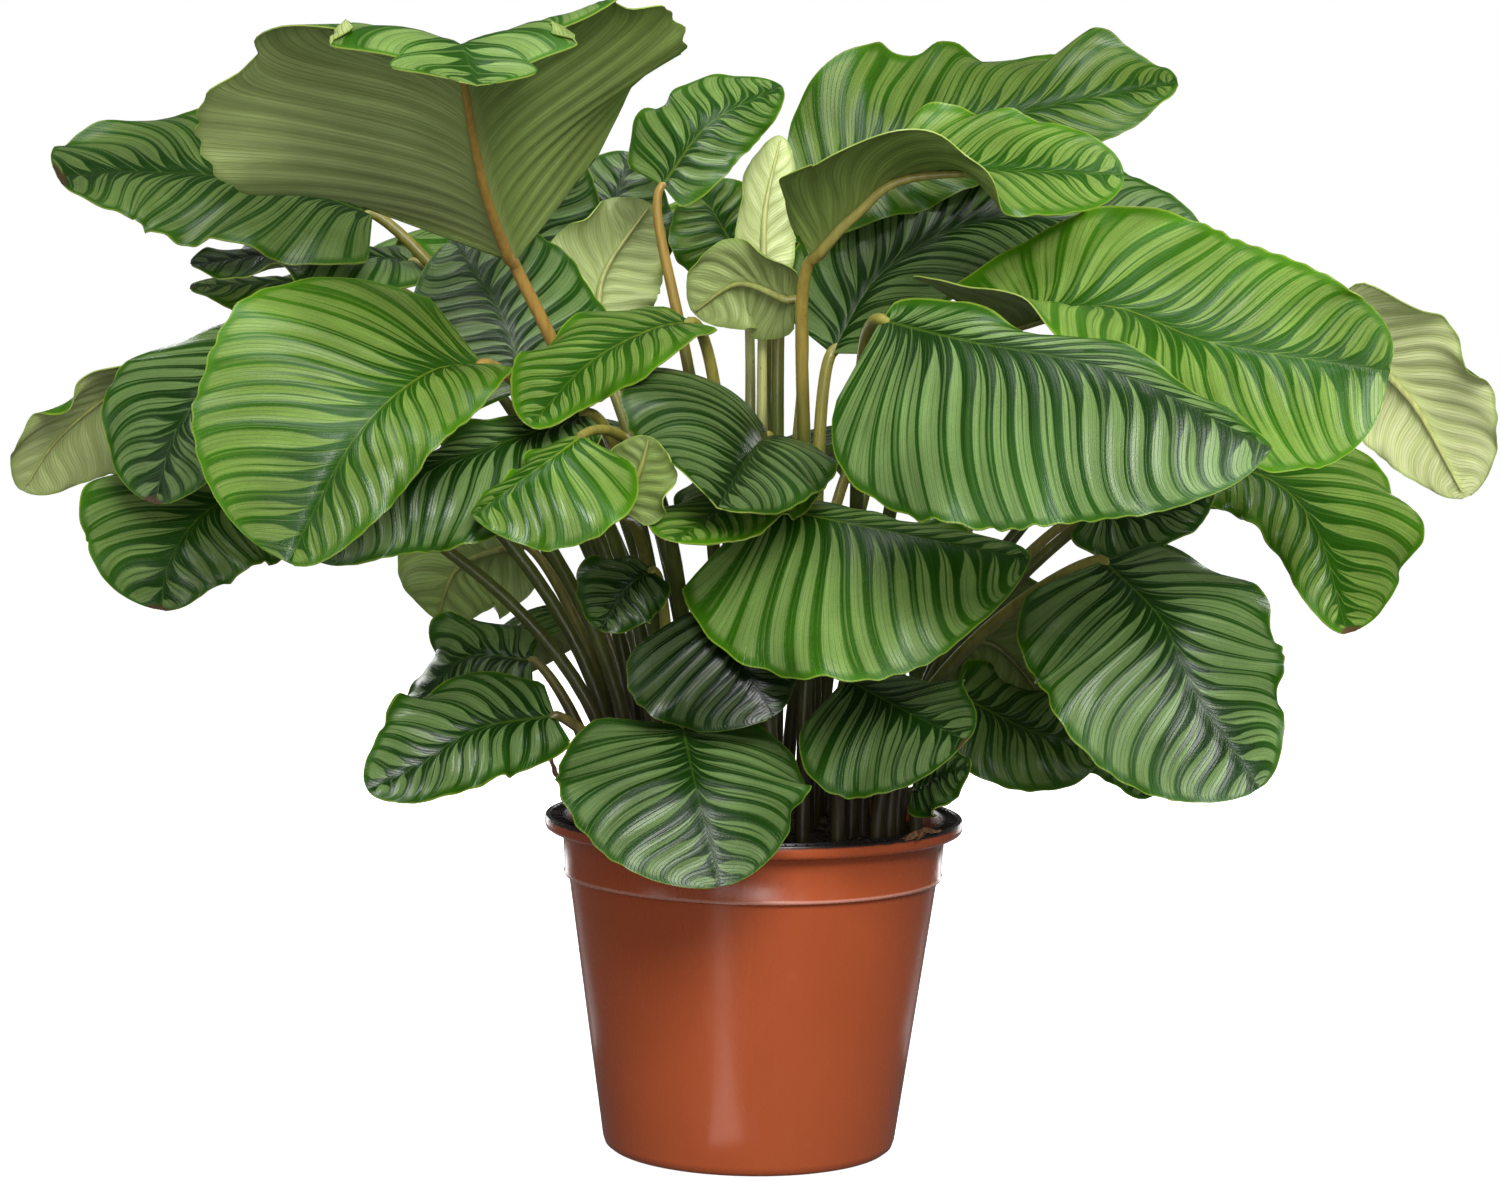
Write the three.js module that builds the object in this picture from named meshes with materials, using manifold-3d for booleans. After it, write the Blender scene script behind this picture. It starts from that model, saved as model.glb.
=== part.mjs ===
// A potted calathea: a nursery pot filled with soil, and about fifty round leaves on long stalks.
// Millimetres, +Z up. The origin is the middle of the pot's base, and the front of the plant is at -Y.
import * as THREE from "three";
import { mergeVertices } from "three/addons/utils/BufferGeometryUtils.js";
import Module from "manifold-3d";

const wasm = await Module();
wasm.setup();

// ---------------------------------------------------------------- driving dimensions

const RIM_DIAMETER = 270;
const POT_HEIGHT = 217;
const BASE_DIAMETER = 190;
const POT_WALL = 2.4;
const LIP_HEIGHT = 9;
const LIP_WIDTH = 11;
const BAND_HEIGHT = 38;
const BAND_STEP = 3;
const BASE_ROUNDING = 7;
const POT_SEGMENTS = 40;

const DRAIN_HOLES = 8;
const DRAIN_RADIUS = 6;
const DRAIN_CIRCLE = 62;

const SOIL_TOP = 204;
const SOIL_CROWN = 5;
const GAP = 0.3;

const BLADE_THICKNESS = 0.8;
const KEEL_DEPTH = 2.6;
const TIP_HALF_WIDTH = 1.2;
const LOBES = [0.1, 0.1];
const LIFT = 0.45;
const TAPER = 0.43;
const RIB_STATIONS = 48;
const FIRST_ROW = 0.05;
const BLADE_COLUMNS = [-1, -0.62, -0.25, 0, 0.25, 0.62, 1];

const STALK_FOOT_RADIUS = 5;
const STALK_TOP_RADIUS = 3.4;
const STALK_SIDES = 6;
const STALK_STEPS = 5;
const STALK_DEPTH = 30;
const STALK_RISE = 10;
const STALK_TURN = 0.07;

// ---------------------------------------------------------------- materials

const potMaterial = new THREE.MeshStandardMaterial({ color: 0xa8502f, roughness: 0.38, metalness: 0 });
const soilMaterial = new THREE.MeshStandardMaterial({ color: 0x2b1d14, roughness: 0.95, metalness: 0 });
const leafColours = { bright: 0x5f9a35, mid: 0x4a7f3a, deep: 0x2f5f33 };

function leafMaterial(tone) {
  return new THREE.MeshStandardMaterial({ color: leafColours[tone], roughness: 0.4, metalness: 0 });
}

// ---------------------------------------------------------------- the leaves
// root: where the stalk stands in the soil, [x, y].
// rib: points of the blade's midrib from its base to its tip.
// halves: the widths of the blade's left and right halves, laid flat, seen from the base to the tip with
// the upper side up.
// face: the way the upper side looks at the middle of the blade.
// left and right: the angle in degrees that the half rises from the rib at the base and at the tip, and how
// far it curls down again towards its edge.
// wave: height of the edge's waves, and how many there are.
// twist, on some: the degrees that the blade turns about its rib from base to tip.
// lobes, on some: the share of the length that the left and right edges reach back past the base.
// lift, on some: how straight up the stalk starts.
// taper, on some: how much the blade narrows towards its base and its tip.

const leaves = [
  { name: "crown_left_front", tone: "mid", root: [-48, -14],
    rib: [[-155, -70, 570], [-170, -125, 620], [-180, -190, 695], [-165, -255, 670]],
    halves: [150, 174], face: [0.15, 0.75, 0.65], left: [60, 18, 0], right: [28, 0, 46],
    wave: [5, 2.2], lobes: [-0.06, -0.16], taper: 0.33 },
  { name: "far_left_upper", tone: "mid", root: [-62, 16],
    rib: [[-255, 50, 600], [-320, 45, 620], [-405, 40, 625], [-455, 20, 620]],
    halves: [86, 92], face: [0.1, -0.4, 0.9], left: [5, 5, 30], right: [12, 8, 20],
    wave: [6, 2.6], taper: 0.28 },
  { name: "left_under_upper", tone: "deep", root: [-74, 30],
    rib: [[-230, 70, 570], [-300, 50, 575], [-370, 30, 565]],
    halves: [60, 60], face: [0.05, -0.25, 0.95], left: [5, 5, 30], right: [5, 5, 30],
    wave: [6, 2.2] },
  { name: "left_yellow", tone: "bright", root: [-72, 46],
    rib: [[-245, 125, 550], [-310, 130, 555], [-385, 125, 550]],
    halves: [45, 45], face: [0, -0.35, 0.95], left: [0, 0, 30], right: [0, 0, 30],
    wave: [5, 2.2] },
  { name: "left_mid_lower", tone: "deep", root: [-76, -12],
    rib: [[-270, -50, 525], [-320, -80, 505], [-355, -110, 470], [-370, -120, 420]],
    halves: [60, 80], face: [-0.15, -0.65, 0.7], left: [0, 0, 30], right: [0, 0, 20],
    wave: [5, 2.4] },
  { name: "left_front", tone: "bright", root: [-62, -32],
    rib: [[-165, -190, 510], [-195, -230, 505], [-230, -280, 470], [-265, -305, 400]],
    halves: [48, 112], face: [0.15, -0.7, 0.7], left: [40, 0, 30], right: [5, 5, 15],
    wave: [4, 2.6], lobes: [0, 0.2], lift: 0.6, taper: 0.36 },
  { name: "far_left_low", tone: "mid", root: [-88, 6],
    rib: [[-335, 15, 515], [-400, 30, 495], [-455, 45, 455], [-485, 60, 415]],
    halves: [40, 56], face: [-0.1, 0.9, 0.45], left: [-60, -10, 20], right: [0, 0, 20],
    wave: [5, 2.2] },
  { name: "left_low", tone: "mid", root: [-86, -30],
    rib: [[-295, -60, 435], [-340, -95, 415], [-360, -120, 385], [-365, -125, 355]],
    halves: [55, 88], face: [-0.15, -0.7, 0.7], left: [-10, -10, 20], right: [0, 0, 25],
    wave: [4, 2.4] },
  { name: "left_front_low", tone: "deep", root: [-54, -54],
    rib: [[-105, -150, 480], [-165, -205, 460], [-220, -230, 440], [-260, -245, 400]],
    halves: [60, 24], face: [0.25, -0.9, 0.35], left: [50, -5, 20], right: [-30, -30, 40],
    wave: [4, 2.4], lobes: [-0.08, 0], lift: 0.6 },
  { name: "center_fold_green", tone: "bright", root: [-40, -74],
    rib: [[-105, -220, 470], [-125, -245, 455], [-165, -260, 425]],
    halves: [56, 30], face: [0.1, -0.75, 0.65], left: [0, 0, 25], right: [-40, -40, 20],
    wave: [3, 2], lobes: [0.18, 0.1], lift: 0.9 },
  { name: "center_fold_pale", tone: "mid", root: [-60, -72],
    rib: [[-80, -205, 425], [-70, -210, 450], [-65, -215, 470]],
    halves: [25, 26], face: [0.1, 0.9, -0.2], left: [0, 0, 20], right: [0, 0, 20],
    wave: [3, 2], lift: 0.98 },
  { name: "center_left_upper", tone: "bright", root: [-14, -20],
    rib: [[-45, -60, 535], [-70, -95, 530], [-105, -150, 510], [-135, -215, 475]],
    halves: [27, 44], face: [0.35, -0.45, 0.8], left: [20, -10, 10], right: [-10, 0, 30],
    wave: [3, 2.2], lift: 0.7 },
  { name: "center_round", tone: "deep", root: [8, -58],
    rib: [[5, -60, 465], [-5, -140, 460], [-25, -230, 430]],
    halves: [52, 92], face: [0, -0.25, 1], left: [0, -15, 30], right: [64, 50, 80],
    wave: [4, 2.6], lobes: [0, 0] },
  { name: "center_under", tone: "bright", root: [30, -80],
    rib: [[25, -90, 450], [-10, -150, 435], [-50, -230, 410]],
    halves: [36, 50], face: [0.05, -0.3, 0.95], left: [-5, -5, 20], right: [0, 0, 30],
    wave: [5, 2.6], lobes: [0, 0] },
  { name: "center_front_low", tone: "mid", root: [12, -98],
    rib: [[0, -115, 425], [70, -165, 415], [130, -185, 405], [160, -195, 400]],
    halves: [40, 106], face: [-0.15, -0.8, 0.6], left: [-30, -30, 30], right: [0, 0, 20],
    wave: [4, 2.6], lobes: [0.1, 0.22] },
  { name: "right_front_low", tone: "deep", root: [62, -28],
    rib: [[70, -190, 540], [115, -250, 530], [195, -310, 515], [280, -345, 475]],
    halves: [26, 112], face: [-0.45, -0.7, 0.55], left: [0, -35, 20], right: [0, 0, 20],
    wave: [3, 2.6], lift: 0.75, lobes: [0.04, 0.03] },
  { name: "right_front_top", tone: "bright", root: [70, -10],
    rib: [[145, -120, 535], [205, -160, 550], [265, -190, 530], [365, -220, 515]],
    halves: [68, 112], face: [0.05, -0.6, 0.8], left: [14, 49, -10], right: [52, -40, -20],
    wave: [3, 2.4], lobes: [0.3, 0.1], lift: 0.86, taper: 0.27 },
  { name: "right_low_front", tone: "deep", root: [78, -56],
    rib: [[210, -130, 395], [240, -185, 365], [260, -210, 320], [295, -225, 270]],
    halves: [72, 86], face: [0.05, -0.85, 0.55], left: [0, 0, 30], right: [0, 0, 30],
    wave: [3, 2.6] },
  { name: "right_drape", tone: "bright", root: [92, -14],
    rib: [[270, -40, 450], [315, -65, 445], [345, -85, 415], [365, -95, 350]],
    halves: [112, 36], face: [0.35, -0.65, 0.7], left: [0, 0, 20], right: [0, -20, 40],
    wave: [5, 2.2] },
  { name: "far_right", tone: "mid", root: [94, 4],
    rib: [[365, 50, 550], [400, 70, 520], [435, 80, 485], [470, 85, 425]],
    halves: [50, 63], face: [0.35, 0.8, 0.5], left: [0, 0, 20], right: [0, 0, 20],
    wave: [5, 2.2] },
  { name: "top_right_back", tone: "bright", root: [14, 52],
    rib: [[25, 65, 615], [80, 70, 650], [170, 85, 675], [270, 75, 695]],
    halves: [84, 60], face: [-0.15, -0.55, 0.8], left: [28, 5, 20], right: [0, 0, 30],
    wave: [8, 3.2], lift: 0.7, lobes: [-0.04, 0.1] },
  { name: "top_right_front", tone: "bright", root: [34, -16],
    rib: [[30, -60, 575], [55, -80, 605], [95, -90, 630], [220, -90, 630]],
    halves: [74, 72], face: [-0.15, 0.15, 1], left: [80, 0, 0], right: [0, 0, 20],
    wave: [4, 2.2], twist: 115, lift: 0.7, lobes: [-0.05, -0.15] },
  { name: "right_dark", tone: "deep", root: [38, 10],
    rib: [[45, 20, 515], [80, 30, 570], [155, 40, 605], [285, 30, 590]],
    halves: [70, 100], face: [-0.1, -0.9, 0.4], left: [0, 0, 20], right: [50, 40, 10],
    wave: [4, 2.6], lobes: [0, 0] },
  { name: "top_center", tone: "mid", root: [-20, -2],
    rib: [[-65, -20, 620], [-35, -20, 660], [10, 10, 685]],
    halves: [60, 30], face: [-0.25, -0.75, 0.6], left: [0, 0, 30], right: [-40, -40, 0],
    wave: [3, 2], lift: 0.7 },
  { name: "center_pale", tone: "mid", root: [-32, 34],
    rib: [[-110, 70, 530], [-105, 80, 565], [-75, 90, 610]],
    halves: [40, 40], face: [-0.3, 0.95, -0.1], left: [0, 0, 20], right: [0, 0, 20],
    wave: [3, 2] },
  { name: "center_dark_a", tone: "deep", root: [-50, 64],
    rib: [[-165, 105, 525], [-155, 115, 585], [-135, 115, 650]],
    halves: [50, 50], face: [-0.15, -1, 0.1], left: [0, 0, 20], right: [0, 0, 20],
    wave: [3, 2] },
  { name: "center_dark_b", tone: "deep", root: [-38, 72],
    rib: [[-115, 120, 555], [-105, 130, 595], [-90, 140, 645]],
    halves: [48, 48], face: [0.1, -0.9, 0.3], left: [0, 0, 20], right: [0, 0, 20],
    wave: [3, 2] },
  { name: "back_yellow", tone: "bright", root: [-8, 58],
    rib: [[-15, 110, 575], [-30, 115, 600], [-45, 120, 625]],
    halves: [38, 38], face: [0, -0.9, 0.3], left: [0, 0, 20], right: [0, 0, 20],
    wave: [3, 2] },
  { name: "back_pale", tone: "mid", root: [2, 38],
    rib: [[0, 40, 555], [0, 45, 605], [10, 55, 655]],
    halves: [22, 22], face: [-0.2, 0.9, 0], left: [0, 0, 20], right: [0, 0, 20],
    wave: [2, 2] },
  { name: "center_grey", tone: "mid", root: [8, 12],
    rib: [[20, 0, 550], [-15, 15, 560], [-45, 25, 540]],
    halves: [32, 38], face: [0, 0.9, 0.4], left: [0, 0, 20], right: [0, 0, 20],
    wave: [3, 2] },
  { name: "left_center_dark", tone: "deep", root: [-45, 6],
    rib: [[-150, 10, 490], [-170, 20, 540], [-200, 30, 585]],
    halves: [70, 70], face: [0.2, -0.9, 0.3], left: [0, 0, 20], right: [0, 0, 20],
    wave: [4, 2] },
  { name: "bottom_front", tone: "deep", root: [-42, -99],
    rib: [[-45, -130, 290], [-35, -190, 260], [-20, -215, 205]],
    halves: [78, 82], face: [0.15, -0.85, 0.5], left: [0, 0, 30], right: [0, 0, 20],
    wave: [3, 2.6], lobes: [0.24, 0.24] },
  { name: "bottom_right_front", tone: "deep", root: [52, -92],
    rib: [[55, -125, 320], [90, -160, 305], [125, -185, 290]],
    halves: [50, 68], face: [-0.3, -0.7, 0.65], left: [-40, -20, 10], right: [0, 0, 20],
    wave: [3, 2.4] },
  { name: "low_center_dark", tone: "deep", root: [-6, -82],
    rib: [[-30, -120, 365], [-15, -145, 340], [10, -160, 300]],
    halves: [42, 68], face: [-0.05, -0.85, 0.5], left: [0, 0, 30], right: [0, 0, 25],
    wave: [3, 2.4], lobes: [0, 0] },
  { name: "low_center_small", tone: "deep", root: [-52, -88],
    rib: [[-65, -135, 385], [-80, -145, 375], [-95, -155, 350]],
    halves: [26, 32], face: [-0.2, -0.85, 0.5], left: [0, 0, 30], right: [0, 0, 30],
    wave: [3, 2] },
  { name: "low_left_front", tone: "deep", root: [-74, -60],
    rib: [[-125, -90, 290], [-170, -120, 285], [-205, -140, 265], [-235, -150, 250]],
    halves: [34, 48], face: [0.2, -0.8, 0.55], left: [0, 0, 20], right: [0, 0, 30],
    wave: [5, 2.4] },
  { name: "low_left_back", tone: "deep", root: [-100, -8],
    rib: [[-145, 0, 315], [-190, 0, 315], [-230, 10, 270]],
    halves: [55, 55], face: [-0.4, -0.55, 0.75], left: [0, 0, 30], right: [0, 0, 30],
    wave: [4, 2.2] },
  { name: "left_inner_grey", tone: "mid", root: [-88, 24],
    rib: [[-155, 50, 385], [-195, 50, 370], [-210, 50, 335]],
    halves: [46, 46], face: [0.2, 0.95, -0.25], left: [0, 0, 20], right: [0, 0, 20],
    wave: [4, 2.2] },
  { name: "low_right_grey", tone: "mid", root: [82, 42],
    rib: [[100, 60, 310], [155, 65, 325], [205, 60, 270]],
    halves: [50, 60], face: [0.15, 0.95, 0.25], left: [0, 0, 20], right: [0, 0, 20],
    wave: [4, 2.2] },
  { name: "low_right_green", tone: "mid", root: [92, 22],
    rib: [[130, 25, 295], [185, 20, 270], [230, 15, 265]],
    halves: [44, 44], face: [0.1, -0.8, 0.55], left: [0, 0, 30], right: [0, 0, 30],
    wave: [4, 2.2] },
  { name: "low_right_dark", tone: "deep", root: [68, 58],
    rib: [[215, 90, 290], [250, 90, 255], [265, 85, 220]],
    halves: [36, 36], face: [0.3, -0.8, 0.5], left: [0, 0, 30], right: [0, 0, 30],
    wave: [3, 2] },
  { name: "right_mid_dark", tone: "deep", root: [86, -32],
    rib: [[205, -60, 420], [240, -85, 420], [280, -100, 435]],
    halves: [36, 32], face: [-0.4, -0.55, 0.75], left: [0, 0, 30], right: [0, 0, 30],
    wave: [3, 2] },
  { name: "rim_right_small", tone: "deep", root: [104, -34],
    rib: [[100, -40, 240], [120, -65, 255], [135, -75, 260]],
    halves: [25, 25], face: [0.1, -0.8, 0.6], left: [0, 0, 30], right: [0, 0, 30],
    wave: [3, 2] },
  { name: "back_high_left", tone: "mid", root: [-40, 86],
    rib: [[-130, 175, 575], [-195, 245, 600], [-245, 310, 555]],
    halves: [95, 95], face: [-0.4, 0.5, 0.75], left: [0, 0, 30], right: [0, 0, 30],
    wave: [6, 2.6] },
  { name: "back_high_mid", tone: "bright", root: [5, 78],
    rib: [[5, 170, 590], [15, 260, 620], [25, 340, 570]],
    halves: [100, 100], face: [0.1, 0.6, 0.75], left: [5, 5, 30], right: [0, 0, 30],
    wave: [6, 2.6] },
  { name: "back_high_right", tone: "deep", root: [42, 64],
    rib: [[130, 160, 570], [205, 235, 600], [260, 300, 550]],
    halves: [95, 95], face: [0.4, 0.5, 0.75], left: [0, 0, 30], right: [0, 0, 30],
    wave: [6, 2.6] },
  { name: "back_mid_far_left", tone: "deep", root: [-90, 50],
    rib: [[-210, 130, 460], [-300, 180, 475], [-370, 215, 425]],
    halves: [80, 80], face: [-0.5, 0.4, 0.75], left: [0, 0, 30], right: [0, 0, 30],
    wave: [5, 2.4] },
  { name: "back_mid_left", tone: "mid", root: [-64, 84],
    rib: [[-100, 190, 450], [-150, 275, 460], [-180, 340, 400]],
    halves: [90, 90], face: [-0.3, 0.6, 0.75], left: [0, 0, 30], right: [0, 0, 30],
    wave: [5, 2.4] },
  { name: "back_mid_right", tone: "deep", root: [22, 94],
    rib: [[70, 190, 450], [105, 280, 460], [125, 345, 400]],
    halves: [90, 90], face: [0.2, 0.6, 0.75], left: [0, 0, 30], right: [0, 0, 30],
    wave: [5, 2.4] },
  { name: "back_mid_far_right", tone: "mid", root: [64, 74],
    rib: [[200, 140, 450], [285, 195, 460], [350, 235, 405]],
    halves: [85, 85], face: [0.5, 0.5, 0.75], left: [0, 0, 30], right: [0, 0, 30],
    wave: [5, 2.4] },
  { name: "back_low_left", tone: "mid", root: [-78, 70],
    rib: [[-110, 140, 330], [-150, 200, 330], [-175, 240, 275]],
    halves: [62, 62], face: [-0.5, 0.5, 0.7], left: [0, 0, 30], right: [0, 0, 30],
    wave: [4, 2.2] },
  { name: "back_low_mid", tone: "deep", root: [-18, 96],
    rib: [[-30, 150, 320], [-45, 225, 315], [-50, 280, 260]],
    halves: [68, 68], face: [-0.1, 0.6, 0.8], left: [0, 0, 30], right: [0, 0, 30],
    wave: [4, 2.2] },
  { name: "back_low_right", tone: "mid", root: [50, 90],
    rib: [[100, 150, 320], [150, 215, 315], [175, 260, 265]],
    halves: [62, 62], face: [0.4, 0.6, 0.7], left: [0, 0, 30], right: [0, 0, 30],
    wave: [4, 2.2] },
];

// ---------------------------------------------------------------- solids

function solidOf(geometry) {
  geometry.deleteAttribute("normal");
  geometry.deleteAttribute("uv");
  const merged = mergeVertices(geometry, 1e-4);
  return new wasm.Manifold(new wasm.Mesh({
    numProp: 3,
    vertProperties: new Float32Array(merged.attributes.position.array),
    triVerts: new Uint32Array(merged.index.array),
  }));
}

function geometryOf(solid) {
  const mesh = solid.getMesh();
  const geometry = new THREE.BufferGeometry();
  geometry.setAttribute("position", new THREE.BufferAttribute(mesh.vertProperties, 3));
  geometry.setIndex(new THREE.BufferAttribute(mesh.triVerts, 1));
  geometry.computeVertexNormals();
  return geometry;
}

function facesOf(points, triangles) {
  const geometry = new THREE.BufferGeometry();
  geometry.setFromPoints(points);
  geometry.setIndex(triangles);
  geometry.computeVertexNormals();
  return geometry;
}

// A solid of revolution about +Z from [radius, height] pairs that close on themselves.
function turned(profile) {
  const points = profile.map(([radius, height]) => new THREE.Vector2(radius, height));
  points.push(points[0].clone());
  return new THREE.LatheGeometry(points, POT_SEGMENTS).rotateX(Math.PI / 2);
}

// ---------------------------------------------------------------- one leaf

const degrees = Math.PI / 180;
const vector = ([x, y, z]) => new THREE.Vector3(x, y, z);

// The frame of the midrib at even stations: its point, its direction and the way the upper side looks.
// The upper side is carried along the rib from the middle of the blade, so that it never spins of itself.
function ribFrames(leaf) {
  const curve = new THREE.CatmullRomCurve3(leaf.rib.map(vector), false, "catmullrom", 0.5);
  const frames = [];
  for (let i = 0; i <= RIB_STATIONS; i++) {
    frames.push({ point: curve.getPointAt(i / RIB_STATIONS), along: curve.getTangentAt(i / RIB_STATIONS) });
  }
  const middle = RIB_STATIONS / 2;
  const squared = (up, along) => up.clone().addScaledVector(along, -up.dot(along)).normalize();
  frames[middle].up = squared(vector(leaf.face), frames[middle].along);
  for (let i = middle + 1; i <= RIB_STATIONS; i++) {
    frames[i].up = squared(frames[i - 1].up, frames[i].along);
  }
  for (let i = middle - 1; i >= 0; i--) {
    frames[i].up = squared(frames[i + 1].up, frames[i].along);
  }
  return { frames, length: curve.getLength() };
}

function frameAt(rib, leaf, s) {
  const place = s * RIB_STATIONS;
  const low = Math.min(Math.floor(place), RIB_STATIONS - 1);
  const share = place - low;
  const [a, b] = [rib.frames[low], rib.frames[low + 1]];
  const along = a.along.clone().lerp(b.along, share).normalize();
  const up = a.up.clone().lerp(b.up, share).normalize();
  up.applyAxisAngle(along, (leaf.twist ?? 0) * degrees * (s - 0.5));
  const side = along.clone().cross(up);
  return { point: a.point.clone().lerp(b.point, share), along, up, side };
}

// The blade's outline: the share of a half's width at s, the share of the way from base to tip.
function outlineAt(leaf, s) {
  const bow = Math.sin(Math.PI * Math.pow(Math.min(s, 0.999), 0.74));
  return Math.pow(bow, leaf.taper ?? TAPER) * (1 - 0.2 * Math.pow(s, 8));
}

// A point of the blade's middle surface: u runs from -1 at the left edge to 1 at the right edge.
function bladePoint(rib, leaf, s, u) {
  const frame = frameAt(rib, leaf, s);
  const hand = u < 0 ? -1 : 1;
  const [foldBase, foldTip, curl] = u < 0 ? leaf.left : leaf.right;
  const fold = (foldBase + (foldTip - foldBase) * s) * degrees;
  const half = u < 0 ? leaf.halves[0] : leaf.halves[1];
  const out = Math.abs(u) * Math.max(TIP_HALF_WIDTH, half * outlineAt(leaf, s));
  const bend = (curl || 1) * degrees / half;
  const angle = fold - bend * out;
  const across = (Math.sin(fold) - Math.sin(angle)) / bend;
  const rise = (Math.cos(angle) - Math.cos(fold)) / bend;
  const [waveHeight, waveCount] = leaf.wave;
  const phase = leaf.phase + (u < 0 ? 0 : 1.7);
  const ripple = waveHeight * u * u * Math.sin(Math.PI * s) * Math.sin(2 * Math.PI * waveCount * s + phase);
  const lobe = (leaf.lobes ?? LOBES)[u < 0 ? 0 : 1] * rib.length * u * u * Math.pow(1 - s, 3);
  return frame.point
    .addScaledVector(frame.side, hand * (across - ripple * Math.sin(angle)))
    .addScaledVector(frame.up, rise + ripple * Math.cos(angle))
    .addScaledVector(frame.along, -lobe);
}

// The way the upper side looks at a point of the blade.
function bladeNormal(rib, leaf, s, u) {
  const nearS = Math.min(Math.max(s, 0.05), 0.95);
  const nearU = Math.min(Math.max(u, -0.95), 0.95);
  const alongS = bladePoint(rib, leaf, nearS + 0.02, u).sub(bladePoint(rib, leaf, nearS - 0.02, u));
  const alongU = bladePoint(rib, leaf, nearS, nearU + 0.05).sub(bladePoint(rib, leaf, nearS, nearU - 0.05));
  return alongU.cross(alongS).normalize();
}

// One ring round the blade: over its upper side from left to right, and back under it.
// The underside has a keel along the midrib.
function bladeRing(rib, leaf, s) {
  const over = [];
  const under = [];
  for (const u of BLADE_COLUMNS) {
    const point = bladePoint(rib, leaf, s, u);
    const normal = bladeNormal(rib, leaf, s, u);
    const keel = u === 0 ? KEEL_DEPTH * (1 - s) : 0;
    over.push(point.clone().addScaledVector(normal, BLADE_THICKNESS / 2));
    under.unshift(point.clone().addScaledVector(normal, -BLADE_THICKNESS / 2 - keel));
  }
  return over.concat(under);
}

// The rings of the stalk: straight up out of its hole, then over in one bend to the blade's base.
function stalkRings(rib, leaf) {
  const [x, y] = leaf.root;
  const root = new THREE.Vector3(x, y, SOIL_TOP - STALK_DEPTH);
  const mouth = new THREE.Vector3(x, y, SOIL_TOP + STALK_RISE);
  const base = rib.frames[0].point;
  const reach = mouth.distanceTo(base);
  const rise = new THREE.Vector3(x, y, mouth.z + (leaf.lift ?? LIFT) * reach);
  const turn = base.clone().addScaledVector(rib.frames[0].along, -STALK_TURN * reach);
  const curve = new THREE.CubicBezierCurve3(mouth, rise, turn, base);
  const rings = [];
  let up = frameAt(rib, leaf, 0).up;
  const addRing = (point, along, radius) => {
    up = up.clone().addScaledVector(along, -up.dot(along)).normalize();
    const side = along.clone().cross(up);
    const ring = [];
    for (let corner = 0; corner < STALK_SIDES; corner++) {
      const angle = Math.PI - 2 * Math.PI * corner / STALK_SIDES;
      ring.push(point.clone()
        .addScaledVector(side, radius * Math.cos(angle))
        .addScaledVector(up, radius * Math.sin(angle)));
    }
    rings.unshift(ring);
  };
  for (let step = STALK_STEPS; step >= 0; step--) {
    const t = step / STALK_STEPS;
    const radius = STALK_FOOT_RADIUS + (STALK_TOP_RADIUS - STALK_FOOT_RADIUS) * t;
    addRing(curve.getPoint(t), curve.getTangent(t), radius);
  }
  addRing(root, new THREE.Vector3(0, 0, 1), STALK_FOOT_RADIUS);
  return rings;
}

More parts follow.
